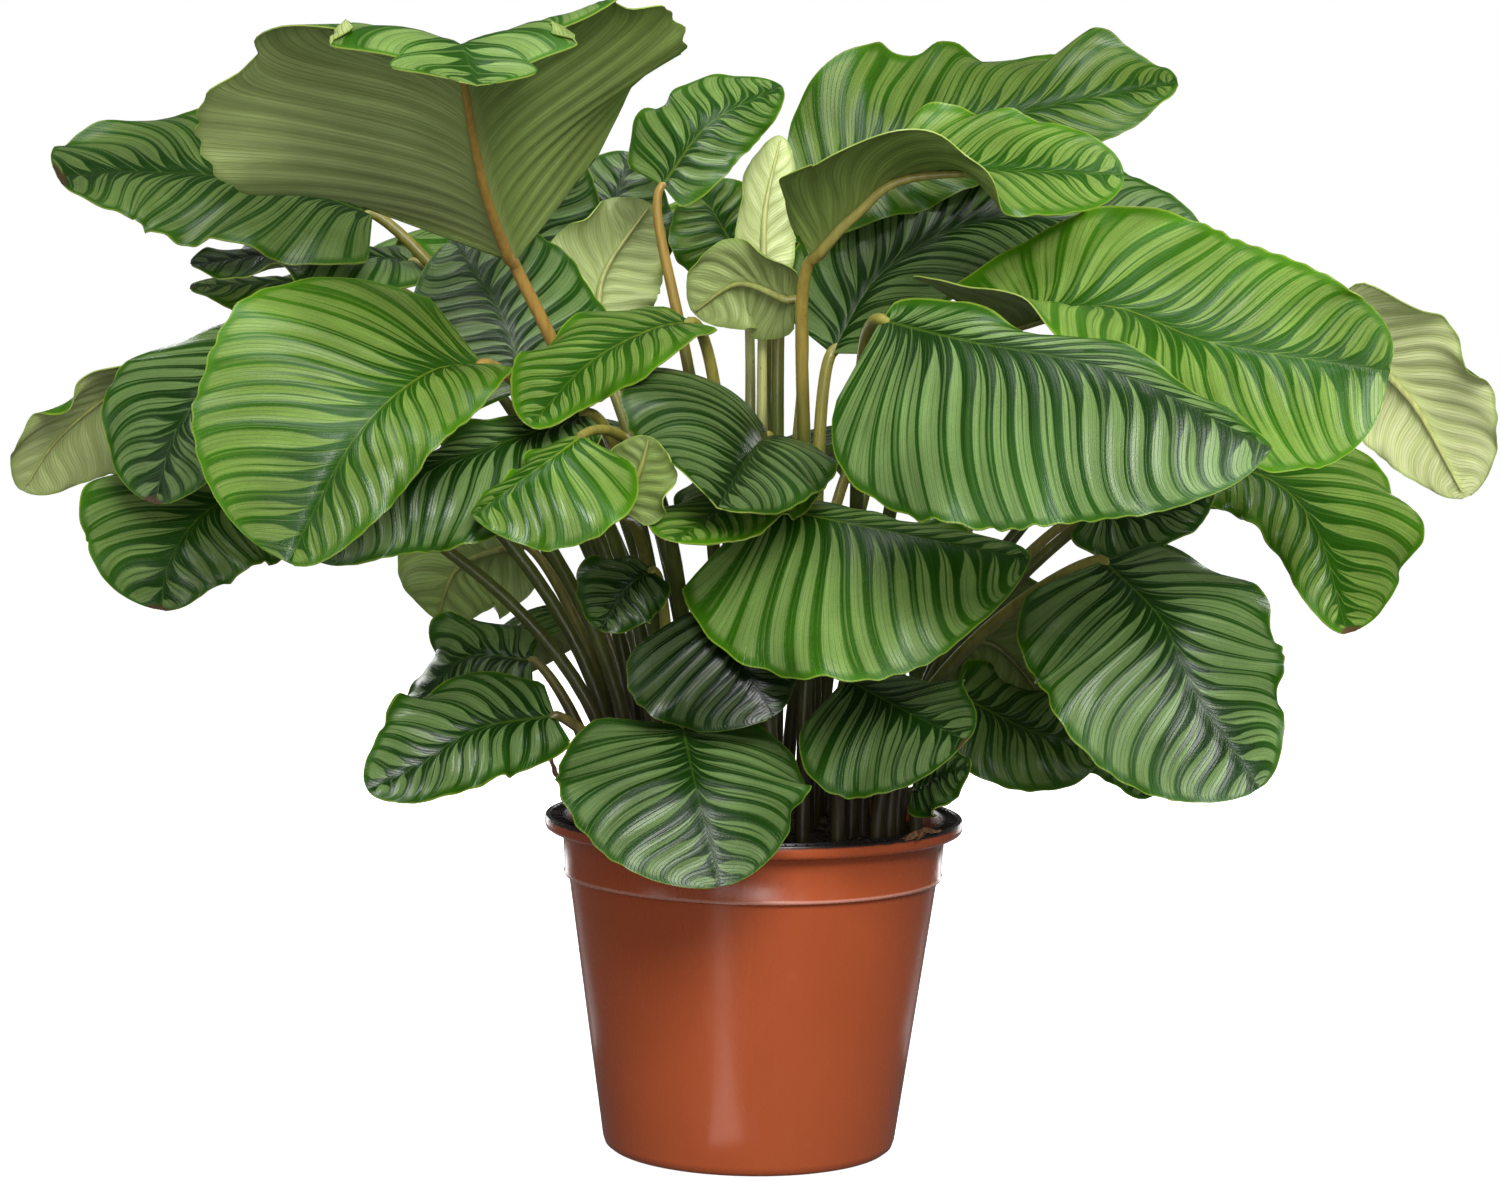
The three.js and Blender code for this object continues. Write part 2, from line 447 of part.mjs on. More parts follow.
// Stalk and blade as one closed body. Both faces of the blade are split into the same triangles.
function leafGeometry(rib, leaf) {
  const stalk = stalkRings(rib, leaf);
  const rows = Math.round(3 + (leaf.halves[0] + leaf.halves[1]) / 70);
  const blade = [];
  for (let row = 0; row <= rows; row++) {
    const s = (1 - Math.cos(Math.PI * row / rows)) / 2;
    blade.push(bladeRing(rib, leaf, FIRST_ROW + (1 - FIRST_ROW) * s));
  }
  const triangles = [];
  for (let corner = 1; corner < STALK_SIDES - 1; corner++) {
    triangles.push(0, corner + 1, corner);
  }
  for (let ring = 0; ring < stalk.length - 1; ring++) {
    for (let corner = 0; corner < STALK_SIDES; corner++) {
      const a = ring * STALK_SIDES + corner;
      const b = ring * STALK_SIDES + (corner + 1) % STALK_SIDES;
      triangles.push(a, b, a + STALK_SIDES, b, b + STALK_SIDES, a + STALK_SIDES);
    }
  }

  // the stalk's last ring opens into the blade's first
  const lastRing = (stalk.length - 1) * STALK_SIDES;
  const firstRow = stalk.length * STALK_SIDES;
  const around = 2 * BLADE_COLUMNS.length;
  const nearest = (corner) => lastRing + Math.round(corner * STALK_SIDES / around) % STALK_SIDES;
  for (let corner = 0; corner < around; corner++) {
    const next = (corner + 1) % around;
    triangles.push(firstRow + next, firstRow + corner, nearest(corner));
    if (nearest(next) !== nearest(corner)) {
      triangles.push(nearest(corner), nearest(next), firstRow + next);
    }
  }

  // the blade: corner k of the upper side lies over corner around - 1 - k of the underside
  const middle = (BLADE_COLUMNS.length - 1) / 2;
  for (let row = 0; row < rows; row++) {
    const over = (corner) => firstRow + row * around + corner;
    const under = (corner) => firstRow + row * around + around - 1 - corner;
    const below = (corner) => (corner < around ? under(corner) : under(corner - around) + around);
    const face = (a, b, c) => {
      triangles.push(over(a), over(b), over(c));
      triangles.push(below(a), below(c), below(b));
    };
    for (let column = 0; column < BLADE_COLUMNS.length - 1; column++) {
      const next = column + 1;
      if (column < middle) {
        face(column, next, column + around);
        face(next, next + around, column + around);
      } else {
        face(column, next, next + around);
        face(column, next + around, column + around);
      }
    }
    for (const [a, b] of [[around - 1, 0], [middle * 2, middle * 2 + 1]]) {
      triangles.push(over(a), over(b), over(b) + around, over(a), over(b) + around, over(a) + around);
    }
  }
  const tip = firstRow + rows * around;
  for (let corner = 0; corner < BLADE_COLUMNS.length - 1; corner++) {
    const below = around - 1 - corner;
    triangles.push(tip + corner, tip + corner + 1, tip + below);
    triangles.push(tip + corner + 1, tip + below - 1, tip + below);
  }
  return facesOf([...stalk.flat(), ...blade.flat()], triangles);
}

// ---------------------------------------------------------------- the plant in its pot

const plant = new THREE.Group();

function place(name, geometry, material) {
  const mesh = new THREE.Mesh(geometry, material);
  mesh.name = name;
  plant.add(mesh);
}

const rimRadius = RIM_DIAMETER / 2;
const bandRadius = rimRadius - LIP_WIDTH;
const baseRadius = BASE_DIAMETER / 2;
const bandFoot = POT_HEIGHT - BAND_HEIGHT;
const ridgeRadius = bandRadius - BAND_STEP;

function potGeometry() {
  const solid = solidOf(turned([
    [0, 0],
    [baseRadius - BASE_ROUNDING, 0],
    [baseRadius - 2, 2],
    [baseRadius, BASE_ROUNDING],
    [ridgeRadius, bandFoot],
    [bandRadius - 1, bandFoot + 2],
    [bandRadius, POT_HEIGHT - LIP_HEIGHT - 2],
    [rimRadius - 1.5, POT_HEIGHT - LIP_HEIGHT],
    [rimRadius, POT_HEIGHT - 2],
    [rimRadius - 1.5, POT_HEIGHT],
    [bandRadius - POT_WALL, POT_HEIGHT],
    [bandRadius - POT_WALL - 1, bandFoot + 2],
    [ridgeRadius - POT_WALL, bandFoot - 1],
    [baseRadius - POT_WALL, BASE_ROUNDING],
    [baseRadius - BASE_ROUNDING, POT_WALL],
    [0, POT_WALL],
  ]));
  let pot = solid;
  for (let i = 0; i < DRAIN_HOLES; i++) {
    const angle = 2 * Math.PI * (i + 0.5) / DRAIN_HOLES;
    const drill = new THREE.CylinderGeometry(DRAIN_RADIUS, DRAIN_RADIUS, 4 * POT_WALL, 8);
    drill.rotateX(Math.PI / 2);
    drill.translate(DRAIN_CIRCLE * Math.cos(angle), DRAIN_CIRCLE * Math.sin(angle), 0);
    pot = pot.subtract(solidOf(drill));
  }
  return geometryOf(pot);
}

function soilGeometry() {
  let soil = solidOf(turned([
    [0, POT_WALL + GAP],
    [baseRadius - BASE_ROUNDING - 1, POT_WALL + GAP],
    [baseRadius - POT_WALL - GAP, BASE_ROUNDING + GAP],
    [ridgeRadius - POT_WALL - GAP, bandFoot - 1],
    [bandRadius - POT_WALL - 1 - GAP, bandFoot + 2.5],
    [bandRadius - POT_WALL - 1 - GAP, SOIL_TOP],
    [0, SOIL_TOP + SOIL_CROWN],
  ]));
  const holeRadius = (STALK_FOOT_RADIUS + GAP) / Math.cos(Math.PI / STALK_SIDES);
  for (const leaf of leaves) {
    const drill = new THREE.CylinderGeometry(holeRadius, holeRadius, 2 * STALK_DEPTH, STALK_SIDES);
    drill.rotateX(Math.PI / 2);
    drill.translate(leaf.root[0], leaf.root[1], SOIL_TOP - GAP);
    soil = soil.subtract(solidOf(drill));
  }
  return geometryOf(soil);
}

leaves.forEach((leaf, i) => {
  leaf.phase = i * 2.4;
});

place("pot", potGeometry(), potMaterial);
place("soil", soilGeometry(), soilMaterial);
for (const leaf of leaves) {
  place(leaf.name, leafGeometry(ribFrames(leaf), leaf), leafMaterial(leaf.tone));
}

export default plant;
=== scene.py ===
# %% [markdown]
# # A potted calathea, dressed leaf by leaf
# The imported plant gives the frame: a nursery pot with its soil, and fifty-three leaves on stalks. Each of
# them is a plain solid there. This lesson replaces every solid by a finer piece in the same place: blades
# that are pleated along their veins and painted with bands, tapering stalks, a turned pot and loose potting
# soil.

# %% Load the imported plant
import math
import bpy
import numpy as np
from mathutils import Matrix, Vector, noise


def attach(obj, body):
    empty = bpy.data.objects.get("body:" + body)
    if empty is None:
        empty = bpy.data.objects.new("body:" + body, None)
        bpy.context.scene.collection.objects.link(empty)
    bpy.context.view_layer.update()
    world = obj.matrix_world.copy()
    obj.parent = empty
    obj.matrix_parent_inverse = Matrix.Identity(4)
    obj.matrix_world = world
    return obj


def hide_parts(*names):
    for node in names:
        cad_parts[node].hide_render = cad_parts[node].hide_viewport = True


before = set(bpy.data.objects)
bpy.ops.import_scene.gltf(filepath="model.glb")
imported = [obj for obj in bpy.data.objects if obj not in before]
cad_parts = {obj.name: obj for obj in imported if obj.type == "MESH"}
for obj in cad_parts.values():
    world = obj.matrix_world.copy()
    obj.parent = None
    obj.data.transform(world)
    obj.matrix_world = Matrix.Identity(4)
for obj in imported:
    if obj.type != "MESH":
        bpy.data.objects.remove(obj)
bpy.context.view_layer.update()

MM = 0.001

# %% [markdown]
# ## The camera
# The plant is seen from about 2.4 m away and a little above, with a long lens, so that the rim shows its
# ellipse and the leaves at the back are hardly smaller than those in front. The camera could be aimed with
# a Track To constraint, but a written matrix keeps its slight roll as well.

# %% Place the camera
VIEW_POINT = (-0.005, -2.4, 0.57)
TILT_DOWN, ROLL = 4.95, 0.96
LENS = 89.8
view = bpy.data.cameras.new("view")
view.sensor_width = 36
view.lens = LENS
camera = bpy.data.objects.new("view", view)
bpy.context.scene.collection.objects.link(camera)
tilt_down = Matrix.Rotation(math.radians(90 - TILT_DOWN), 4, "X")
roll = Matrix.Rotation(math.radians(ROLL), 4, "Z")
camera.matrix_world = Matrix.Translation(VIEW_POINT) @ tilt_down @ roll
bpy.context.scene.camera = camera
print("camera at", tuple(round(part, 3) for part in camera.matrix_world.translation), "lens", view.lens)

# %% [markdown]
# ## Studio light
# The plant stands on white paper in a white room. A broad soft box behind the camera, a little to the
# right, lights the fronts of the leaves and the pot, and a weaker one near the floor opens the shade under
# them. One overhead gives the blades their sheen, one on the left fills the shade there, and a tall narrow
# one beside it draws a line on the round pot. Two panels behind draw thin lights along the pot's sides.
# Three more boxes light the plant from behind and from both sides, and reflections leave them out, so that
# they put no haze on the dark leaves. The room itself gives little light, since the shade between the
# stalks has to stay deep. One sun lamp would be simpler, but its hard shadows would hide the bands of the
# leaves.

# %% Hang the lights
def soft_box(name, place, target, width, height, power):
    light = bpy.data.lights.new(name, "AREA")
    light.shape = "RECTANGLE"
    light.size = width
    light.size_y = height
    light.energy = power
    lamp = bpy.data.objects.new(name, light)
    bpy.context.scene.collection.objects.link(lamp)
    lamp.location = place
    lamp.rotation_euler = (Vector(target) - Vector(place)).to_track_quat("-Z", "Y").to_euler()
    return lamp


PLANT_MIDDLE = (0, 0, 0.4)
soft_box("front_box", (0.45, -2.35, 1.85), (0, 0, 0.35), 1.3, 1.1, 84)
soft_box("low_box", (0.25, -3.0, 0.6), PLANT_MIDDLE, 1.0, 0.8, 17)
soft_box("overhead_box", (-0.2, -0.5, 2.2), PLANT_MIDDLE, 1.2, 1.0, 22)
soft_box("left_box", (-2.1, -1.3, 1.1), (0, 0, 0.45), 0.7, 1.2, 5)
soft_box("strip_box", (-0.66, -2.2, 0.45), (0, 0, 0.25), 0.1, 1.3, 5)
soft_box("back_left_panel", (-1.0, 2.1, 0.5), PLANT_MIDDLE, 0.32, 1.4, 8)
soft_box("back_right_panel", (1.0, 2.1, 0.5), PLANT_MIDDLE, 0.32, 1.4, 8)
fill_boxes = (("rear_box", (0.2, 2.4, 1.8), 36), ("far_left_box", (-2.1, 0.5, 1.9), 13),
              ("far_right_box", (2.1, 0.5, 1.9), 13))
for name, place, power in fill_boxes:
    soft_box(name, place, PLANT_MIDDLE, 1.0, 0.9, power).visible_glossy = False
print("ten soft boxes")

# %% [markdown]
# ## Cards for the pot
# The pot's wall tapers downwards, so it leans towards the floor and mirrors the paper close to it, not the
# soft boxes. Three small glowing cards lie there, face up: a long one in front gives the wall its upright
# streak, and two behind brighten its sides. Only reflections show them.

# %% Lay the cards
def card(name, x, y, width, length, turn, power):
    lamp = soft_box(name, (x, y, 4 * MM), (x, y, 1), width, length, power)
    lamp.rotation_euler = (math.pi, 0, math.radians(turn))
    lamp.visible_camera = lamp.visible_diffuse = False


card("streak_card", -0.100, -0.335, 0.035, 0.46, 160, 0.12)
for side in (-1, 1):
    card("edge_card", side * 0.34, 0.42, 0.08, 0.60, -side * 26, 0.08)
print("three cards")

# %% [markdown]
# ## Room and paper
# Only the camera sees the room at full white. For everything else it gives a little light, which a Light
# Path node decides. The paper glows a little, so it stays white, and only the camera sees it: light that it
# would throw up from below would open the shade between the stalks again.

# %% Paint the room white and lay the paper
ROOM_LIGHT = 0.13
room = bpy.data.worlds.new("white_room")
room.use_nodes = True
room_nodes = room.node_tree.nodes
room_nodes["Background"].inputs["Color"].default_value = (1, 1, 1, 1)
seen = room_nodes.new("ShaderNodeLightPath")
level = room_nodes.new("ShaderNodeMath")
level.operation = "MULTIPLY_ADD"
level.inputs[1].default_value = 1 - ROOM_LIGHT
level.inputs[2].default_value = ROOM_LIGHT
room.node_tree.links.new(seen.outputs["Is Camera Ray"], level.inputs[0])
room.node_tree.links.new(level.outputs[0], room_nodes["Background"].inputs["Strength"])
bpy.context.scene.world = room
bpy.context.scene.view_settings.view_transform = "Standard"

bpy.ops.object.select_all(action="DESELECT")
bpy.ops.mesh.primitive_circle_add(vertices=96, radius=14, fill_type="NGON", location=(0, 0, 0))
floor = bpy.context.object
floor.name = "floor"
floor.visible_diffuse = floor.visible_glossy = floor.visible_transmission = False
paper = bpy.data.materials.new("white_paper")
paper.use_nodes = True
paper_shader = paper.node_tree.nodes["Principled BSDF"]
paper_shader.inputs["Base Color"].default_value = (0.9, 0.9, 0.9, 1)
paper_shader.inputs["Roughness"].default_value = 0.9
paper_shader.inputs["Emission Color"].default_value = (1, 1, 1, 1)
paper_shader.inputs["Emission Strength"].default_value = 0.88
floor.data.materials.append(paper)
print("a white room and a floor of", tuple(round(edge, 1) for edge in floor.dimensions), "metres")

# %% [markdown]
# ## Wiring a finish
# Every finish is one Principled shader fed by a few patterns. A small helper adds the nodes and joins them,
# so that each finish below reads as the list of what it is made of.

# %% A helper that wires a finish
class Finish:
    """One material: its shader, and the nodes that feed it."""

    def __init__(self, name, roughness=0.4):
        self.material = bpy.data.materials.new(name)
        self.material.use_nodes = True
        self.nodes = self.material.node_tree.nodes
        self.links = self.material.node_tree.links
        self.shader = self.nodes["Principled BSDF"]
        self.shader.inputs["Roughness"].default_value = roughness

    def join(self, value, socket):
        if isinstance(value, bpy.types.NodeSocket):
            self.links.new(value, socket)
        elif isinstance(value, tuple) and len(value) == 3 and socket.type == "RGBA":
            socket.default_value = (*value, 1)
        else:
            socket.default_value = value

    def math(self, operation, *values):
        node = self.nodes.new("ShaderNodeMath")
        node.operation = operation
        for value, socket in zip(values, node.inputs):
            self.join(value, socket)
        return node.outputs[0]

    def rise(self, value, low, high, start=0.0, end=1.0):
        """Goes smoothly from start, where value is low, to end, where it is high."""
        node = self.nodes.new("ShaderNodeMapRange")
        node.interpolation_type = "SMOOTHSTEP"
        names = ("Value", "From Min", "From Max", "To Min", "To Max")
        for given, name in zip((value, low, high, start, end), names):
            self.join(given, node.inputs[name])
        return node.outputs["Result"]

    def blend(self, share, first, second):
        node = self.nodes.new("ShaderNodeMix")
        node.data_type = "RGBA"
        self.join(share, node.inputs["Factor"])
        self.join(first, node.inputs[6])
        self.join(second, node.inputs[7])
        return node.outputs[2]

    def shade(self, colour, amount):
        """Multiplies a colour by an amount that varies over the surface."""
        node = self.nodes.new("ShaderNodeVectorMath")
        node.operation = "SCALE"
        self.join(colour, node.inputs[0])
        self.join(amount, node.inputs["Scale"])
        return node.outputs[0]

    def attribute(self, name):
        """A number that the mesh carries at each of its points."""
        node = self.nodes.new("ShaderNodeAttribute")
        node.attribute_name = name
        return node.outputs["Fac"]

    def place(self, stretch=(1, 1, 1)):
        """The place on the plant, stretched along its axes: a small number there draws the pattern out."""
        coordinates = self.nodes.new("ShaderNodeTexCoord")
        mapping = self.nodes.new("ShaderNodeMapping")
        mapping.inputs["Scale"].default_value = stretch
        self.links.new(coordinates.outputs["Object"], mapping.inputs["Vector"])
        return mapping.outputs[0]

    def across(self):
        """The piece's own UV map, as two numbers."""
        node = self.nodes.new("ShaderNodeUVMap")
        node.uv_map = "UVMap"
        split = self.nodes.new("ShaderNodeSeparateXYZ")
        self.links.new(node.outputs[0], split.inputs[0])
        return split.outputs["X"], split.outputs["Y"]

    def joined(self, x, y):
        """Two numbers as one place, for a pattern that follows the surface."""
        node = self.nodes.new("ShaderNodeCombineXYZ")
        self.join(x, node.inputs["X"])
        self.join(y, node.inputs["Y"])
        return node.outputs[0]

    def height(self):
        """How high the place is above the floor, in metres."""
        node = self.nodes.new("ShaderNodeSeparateXYZ")
        self.links.new(self.place(), node.inputs[0])
        return node.outputs["Z"]

    def grain(self, vector, scale, detail=2.0, roughness=0.5):
        node = self.nodes.new("ShaderNodeTexNoise")
        self.join(vector, node.inputs["Vector"])
        node.inputs["Scale"].default_value = scale
        node.inputs["Detail"].default_value = detail
        node.inputs["Roughness"].default_value = roughness
        return node.outputs["Fac"]

    def chance(self, value):
        """A number from 0 to 1 that jumps with every whole value."""
        node = self.nodes.new("ShaderNodeTexWhiteNoise")
        node.noise_dimensions = "1D"
        self.join(value, node.inputs["W"])
        return node.outputs["Value"]

    def bump(self, height, distance, strength=1.0):
        node = self.nodes.new("ShaderNodeBump")
        node.inputs["Strength"].default_value = strength
        node.inputs["Distance"].default_value = distance
        self.join(height, node.inputs["Height"])
        self.links.new(node.outputs[0], self.shader.inputs["Normal"])

    def paint(self, colour, roughness=None):
        self.join(colour, self.shader.inputs["Base Color"])
        if roughness is not None:
            self.join(roughness, self.shader.inputs["Roughness"])
        return self.material


print("finishes can be wired")

# %% [markdown]
# ## The upper side of a leaf
# Between its side veins a calathea leaf is painted with silvery bands that start as threads beside the
# midrib, widen, and fade into a green margin. The bands follow the veins, so the pattern can't be a flat
# wave texture: each blade carries an attribute that counts its bands, and the finish reads that, with the
# distances in millimetres to the midrib and to the edge. More attributes say how young the leaf is, since
# young leaves are a brighter green, how light its upper side is, which is partly its age and partly painted
# shade and light where it hangs, and whether its tip has dried to brown.

# %% The bands of a leaf
VEINS_IN_BAND = 6


def band_pattern(finish):
    """The light bands, fine veins and streaks, and the shares of the way to the tip and out to the edge."""
    along, side = finish.across()
    out = finish.math("ABSOLUTE", finish.math("MULTIPLY_ADD", side, 2.0, -1.0))
    band = finish.attribute("band")
    edge = finish.attribute("from_edge")
    key = finish.math("MULTIPLY_ADD", finish.attribute("luck"), 97.0, finish.math("FLOOR", band))
    luck, second_luck = finish.chance(key), finish.chance(finish.math("ADD", key, 31.7))
    on_leaf = finish.joined(finish.math("MULTIPLY", band, 7.0), finish.math("MULTIPLY", out, 1.6))
    streaks = finish.grain(on_leaf, 1, 3)

    # How far a place is from the core of its band: 0 there, and about 1 halfway to the next one.
    core = finish.math("MULTIPLY_ADD", second_luck, 0.16, 0.42)
    from_core = finish.math("ABSOLUTE", finish.math("SUBTRACT", finish.math("FRACT", band), core))
    from_core = finish.math("MULTIPLY_ADD", from_core, 2.0, finish.math("MULTIPLY_ADD", streaks, 0.22, -0.11))

    # A band opens from a thread beside the rib to its own width, and fades before the edge.
    opening = finish.rise(out, finish.math("MULTIPLY_ADD", luck, 0.12, -0.12), 0.34)
    width = finish.math("MULTIPLY", finish.math("MULTIPLY_ADD", luck, 0.24, 0.50), opening)
    full, none = finish.math("SUBTRACT", width, 0.06), finish.math("ADD", width, 0.08)
    light = finish.rise(from_core, full, none, 1.0, 0.0)
    light = finish.math("MULTIPLY", light, finish.rise(opening, 0.02, 0.25))
    light = finish.math("MULTIPLY", light, finish.rise(edge, 1.5, 8.0))

    # Every other band or so is split by a dark line, and light threads run between some of them.
    split = finish.rise(from_core, 0.04, 0.13, 1.0, 0.0)
    split = finish.math("MULTIPLY", split, finish.rise(out, 0.4, 0.9, 1.0, 0.2))
    split = finish.math("MULTIPLY", split, finish.math("GREATER_THAN", second_luck, 0.5))
    light = finish.math("MULTIPLY", light, finish.math("MULTIPLY_ADD", split, -0.85, 1.0))
    thread = finish.math("MULTIPLY", finish.rise(from_core, 0.86, 0.96), finish.rise(edge, 4.0, 14.0))
    thread = finish.math("MULTIPLY", thread, finish.math("MULTIPLY", finish.rise(luck, 0.3, 0.6), 0.5))
    light = finish.math("MAXIMUM", light, thread)

    vein_turn = finish.math("MULTIPLY", band, math.pi * VEINS_IN_BAND)
    veins = finish.math("ABSOLUTE", finish.math("SINE", vein_turn))
    veins = finish.rise(veins, 0.0, 0.34, 1.0, 0.0)
    return {"light": light, "veins": veins, "streaks": streaks, "along": along, "out": out, "edge": edge}


def dry_tip(finish, bands, colour, brown):
    """The colour, turned brown at the very tip of a blade whose dry attribute is 1."""
    tip = finish.math("MULTIPLY_ADD", bands["streaks"], 0.012, bands["along"])
    tip = finish.math("MULTIPLY", finish.rise(tip, 0.978, 0.996), finish.attribute("dry"))
    return finish.blend(tip, colour, brown)


print("bands are counted from 0 at the base of each blade")

# %% The finish of the upper side
def upper_side():
    finish = Finish("leaf_upper_side", 0.33)
    bands = band_pattern(finish)
    youth, out, edge = finish.attribute("youth"), bands["out"], bands["edge"]
    dark = finish.blend(youth, (0.007, 0.034, 0.002), (0.015, 0.072, 0.001))
    dark_outside = finish.blend(youth, (0.016, 0.071, 0.003), (0.033, 0.122, 0.002))
    dark = finish.blend(finish.rise(out, 0.15, 0.95), dark, dark_outside)
    silver = finish.blend(youth, (0.128, 0.215, 0.062), (0.142, 0.240, 0.040))
    colour = finish.blend(bands["light"], dark, silver)
    vein_line = finish.math("MULTIPLY", bands["veins"], finish.rise(bands["light"], 0.0, 1.0, 0.10, -0.34))
    colour = finish.shade(colour, finish.math("ADD", vein_line, 1.0))
    colour = finish.shade(colour, finish.rise(bands["streaks"], 0.25, 0.75, 0.84, 1.16))
    margin = finish.blend(youth, (0.028, 0.105, 0.003), (0.055, 0.172, 0.002))
    colour = finish.blend(finish.rise(edge, 1.0, 8.0, 0.8, 0.0), colour, margin)
    colour = finish.blend(finish.rise(edge, 0.5, 1.5, 0.7, 0.0), colour, (0.200, 0.300, 0.030))
    rib_end = finish.rise(bands["along"], 0.0, 0.9, 1.3, 0.5)
    rib_core = finish.math("MULTIPLY", rib_end, 0.5)
    rib_line = finish.rise(finish.attribute("from_rib"), rib_core, rib_end, 1.0, 0.0)
    rib_line = finish.math("MULTIPLY", rib_line, finish.rise(bands["along"], 0.1, 1.0, 0.75, 0.2))
    colour = finish.blend(rib_line, colour, finish.blend(youth, (0.050, 0.110, 0.008), (0.150, 0.230, 0.016)))
    colour = dry_tip(finish, bands, colour, (0.085, 0.048, 0.022))
    cloud = finish.grain(finish.place(), 16, 3)
    colour = finish.shade(colour, finish.rise(cloud, 0.25, 0.75, 0.80, 1.18))
    fine = finish.grain(finish.place(), 900, 3)
    colour = finish.shade(colour, finish.rise(fine, 0.3, 0.7, 0.93, 1.06))
    # The tone darkens or lightens the upper side: partly for its age, and partly as painted shade and painted
    # light where the leaf hangs.
    colour = finish.shade(colour, finish.attribute("tone"))
    height = finish.math("MULTIPLY_ADD", bands["veins"], -0.5, finish.math("MULTIPLY", bands["streaks"], 0.7))
    finish.bump(finish.math("MULTIPLY_ADD", fine, 0.4, height), 0.0005, 0.5)
    finish.shader.inputs["Specular IOR Level"].default_value = 0.24
    return finish.paint(colour, finish.rise(cloud, 0.3, 0.7, 0.22, 0.32))


leaf_upper = upper_side()
print("upper side:", len(leaf_upper.node_tree.nodes), "nodes")

# %% [markdown]
# ## The underside and the edge
# The underside is matt and grey-green. The bands show through it only faintly, and the fine veins more.
# Leaves with the light behind them look paler and more yellow. The cut of the edge is a thin pale line.

# %% The finishes of the underside and the edge
def under_side():
    finish = Finish("leaf_underside", 0.5)
    bands = band_pattern(finish)
    pale = finish.attribute("pale")
    # A pale underside is painted light that comes through the leaf from behind.
    colour = finish.blend(pale, (0.215, 0.305, 0.070), (0.800, 0.865, 0.420))
    through = finish.blend(pale, (0.165, 0.230, 0.050), (0.680, 0.765, 0.320))
    colour = finish.blend(bands["light"], through, colour)
    colour = finish.shade(colour, finish.math("MULTIPLY_ADD", bands["veins"], -0.24, 1.0))
    colour = finish.shade(colour, finish.rise(bands["streaks"], 0.25, 0.75, 0.86, 1.12))
    cloud = finish.grain(finish.place(), 12, 3)
    colour = finish.shade(colour, finish.rise(cloud, 0.25, 0.75, 0.84, 1.14))
    colour = finish.blend(finish.rise(bands["edge"], 0.5, 3.0, 0.5, 0.0), colour, (0.18, 0.30, 0.04))
    colour = dry_tip(finish, bands, colour, (0.110, 0.066, 0.032))
    finish.bump(bands["veins"], 0.0004, 0.7)
    return finish.paint(colour)


def edge_line():
    finish = Finish("leaf_edge", 0.45)
    tone = finish.grain(finish.place(), 60, 2)
    return finish.paint(finish.blend(tone, (0.18, 0.29, 0.03), (0.36, 0.42, 0.10)))


leaf_under = under_side()
leaf_edge = edge_line()
print("underside and edge:", leaf_under.name, leaf_edge.name)

# %% [markdown]
# ## The stalks
# A stalk is olive green over most of its height. Towards the blade it turns a lighter green, or golden
# brown on the older leaves, with small brown flecks, and so does the midrib under the blade. Near the soil
# it is wrapped in a dull purple-brown sheath, painted near black as painted shade under the leaves. Stalks
# of pale leaves are painted paler too, as painted light. The attribute below is the distance down from the
# blade in millimetres.

# %% The finish of the stalks
def stalk_skin():
    finish = Finish("stalk_skin", 0.36)
    below = finish.attribute("below")
    streaks = finish.grain(finish.place((1, 1, 0.12)), 260, 3)
    cloud = finish.grain(finish.place(), 34, 3)
    green_rib = finish.blend(finish.rise(below, -25.0, 5.0), (0.230, 0.290, 0.075), (0.175, 0.185, 0.030))
    # The midrib and stalk of a pale leaf are painted paler too, as painted light.
    green_rib = finish.blend(finish.attribute("pale"), green_rib, (0.560, 0.640, 0.240))
    gold = finish.blend(finish.attribute("golden"), green_rib, (0.340, 0.200, 0.042))
    olive = finish.blend(cloud, (0.048, 0.074, 0.006), (0.090, 0.104, 0.011))
    reach = finish.math("MULTIPLY_ADD", cloud, 70.0, below)
    colour = finish.blend(finish.rise(reach, 80.0, 180.0), gold, olive)
    # The sheath near the soil is painted near black: its own dull purple-brown, darkened as painted shade
    # under the leaves.
    sheath_and_shade = finish.blend(streaks, (0.014, 0.007, 0.007), (0.060, 0.042, 0.018))
    low = finish.math("MULTIPLY_ADD", cloud, 0.12, finish.height())
    colour = finish.blend(finish.rise(low, 0.29, 0.44, 0.9, 0.0), colour, sheath_and_shade)
    flecks = finish.grain(finish.place((1, 1, 0.4)), 520, 2)
    colour = finish.blend(finish.rise(flecks, 0.66, 0.76, 0.0, 0.55), colour, (0.120, 0.045, 0.016))
    colour = finish.shade(colour, finish.rise(streaks, 0.3, 0.7, 0.84, 1.14))
    finish.bump(streaks, 0.0004, 0.5)
    return finish.paint(colour, finish.rise(cloud, 0.3, 0.7, 0.3, 0.45))


stalk_finish = stalk_skin()
print("stalks:", stalk_finish.name)

# %% [markdown]
# ## The leaf table
# Each row is one leaf, in millimetres: where its stalk stands, points of its midrib from base to tip, the
# widths of its halves laid flat, the way it faces, how each half folds from the rib at base and tip and
# curls down, and its waves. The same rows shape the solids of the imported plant, so every blade lies where
# they lie.

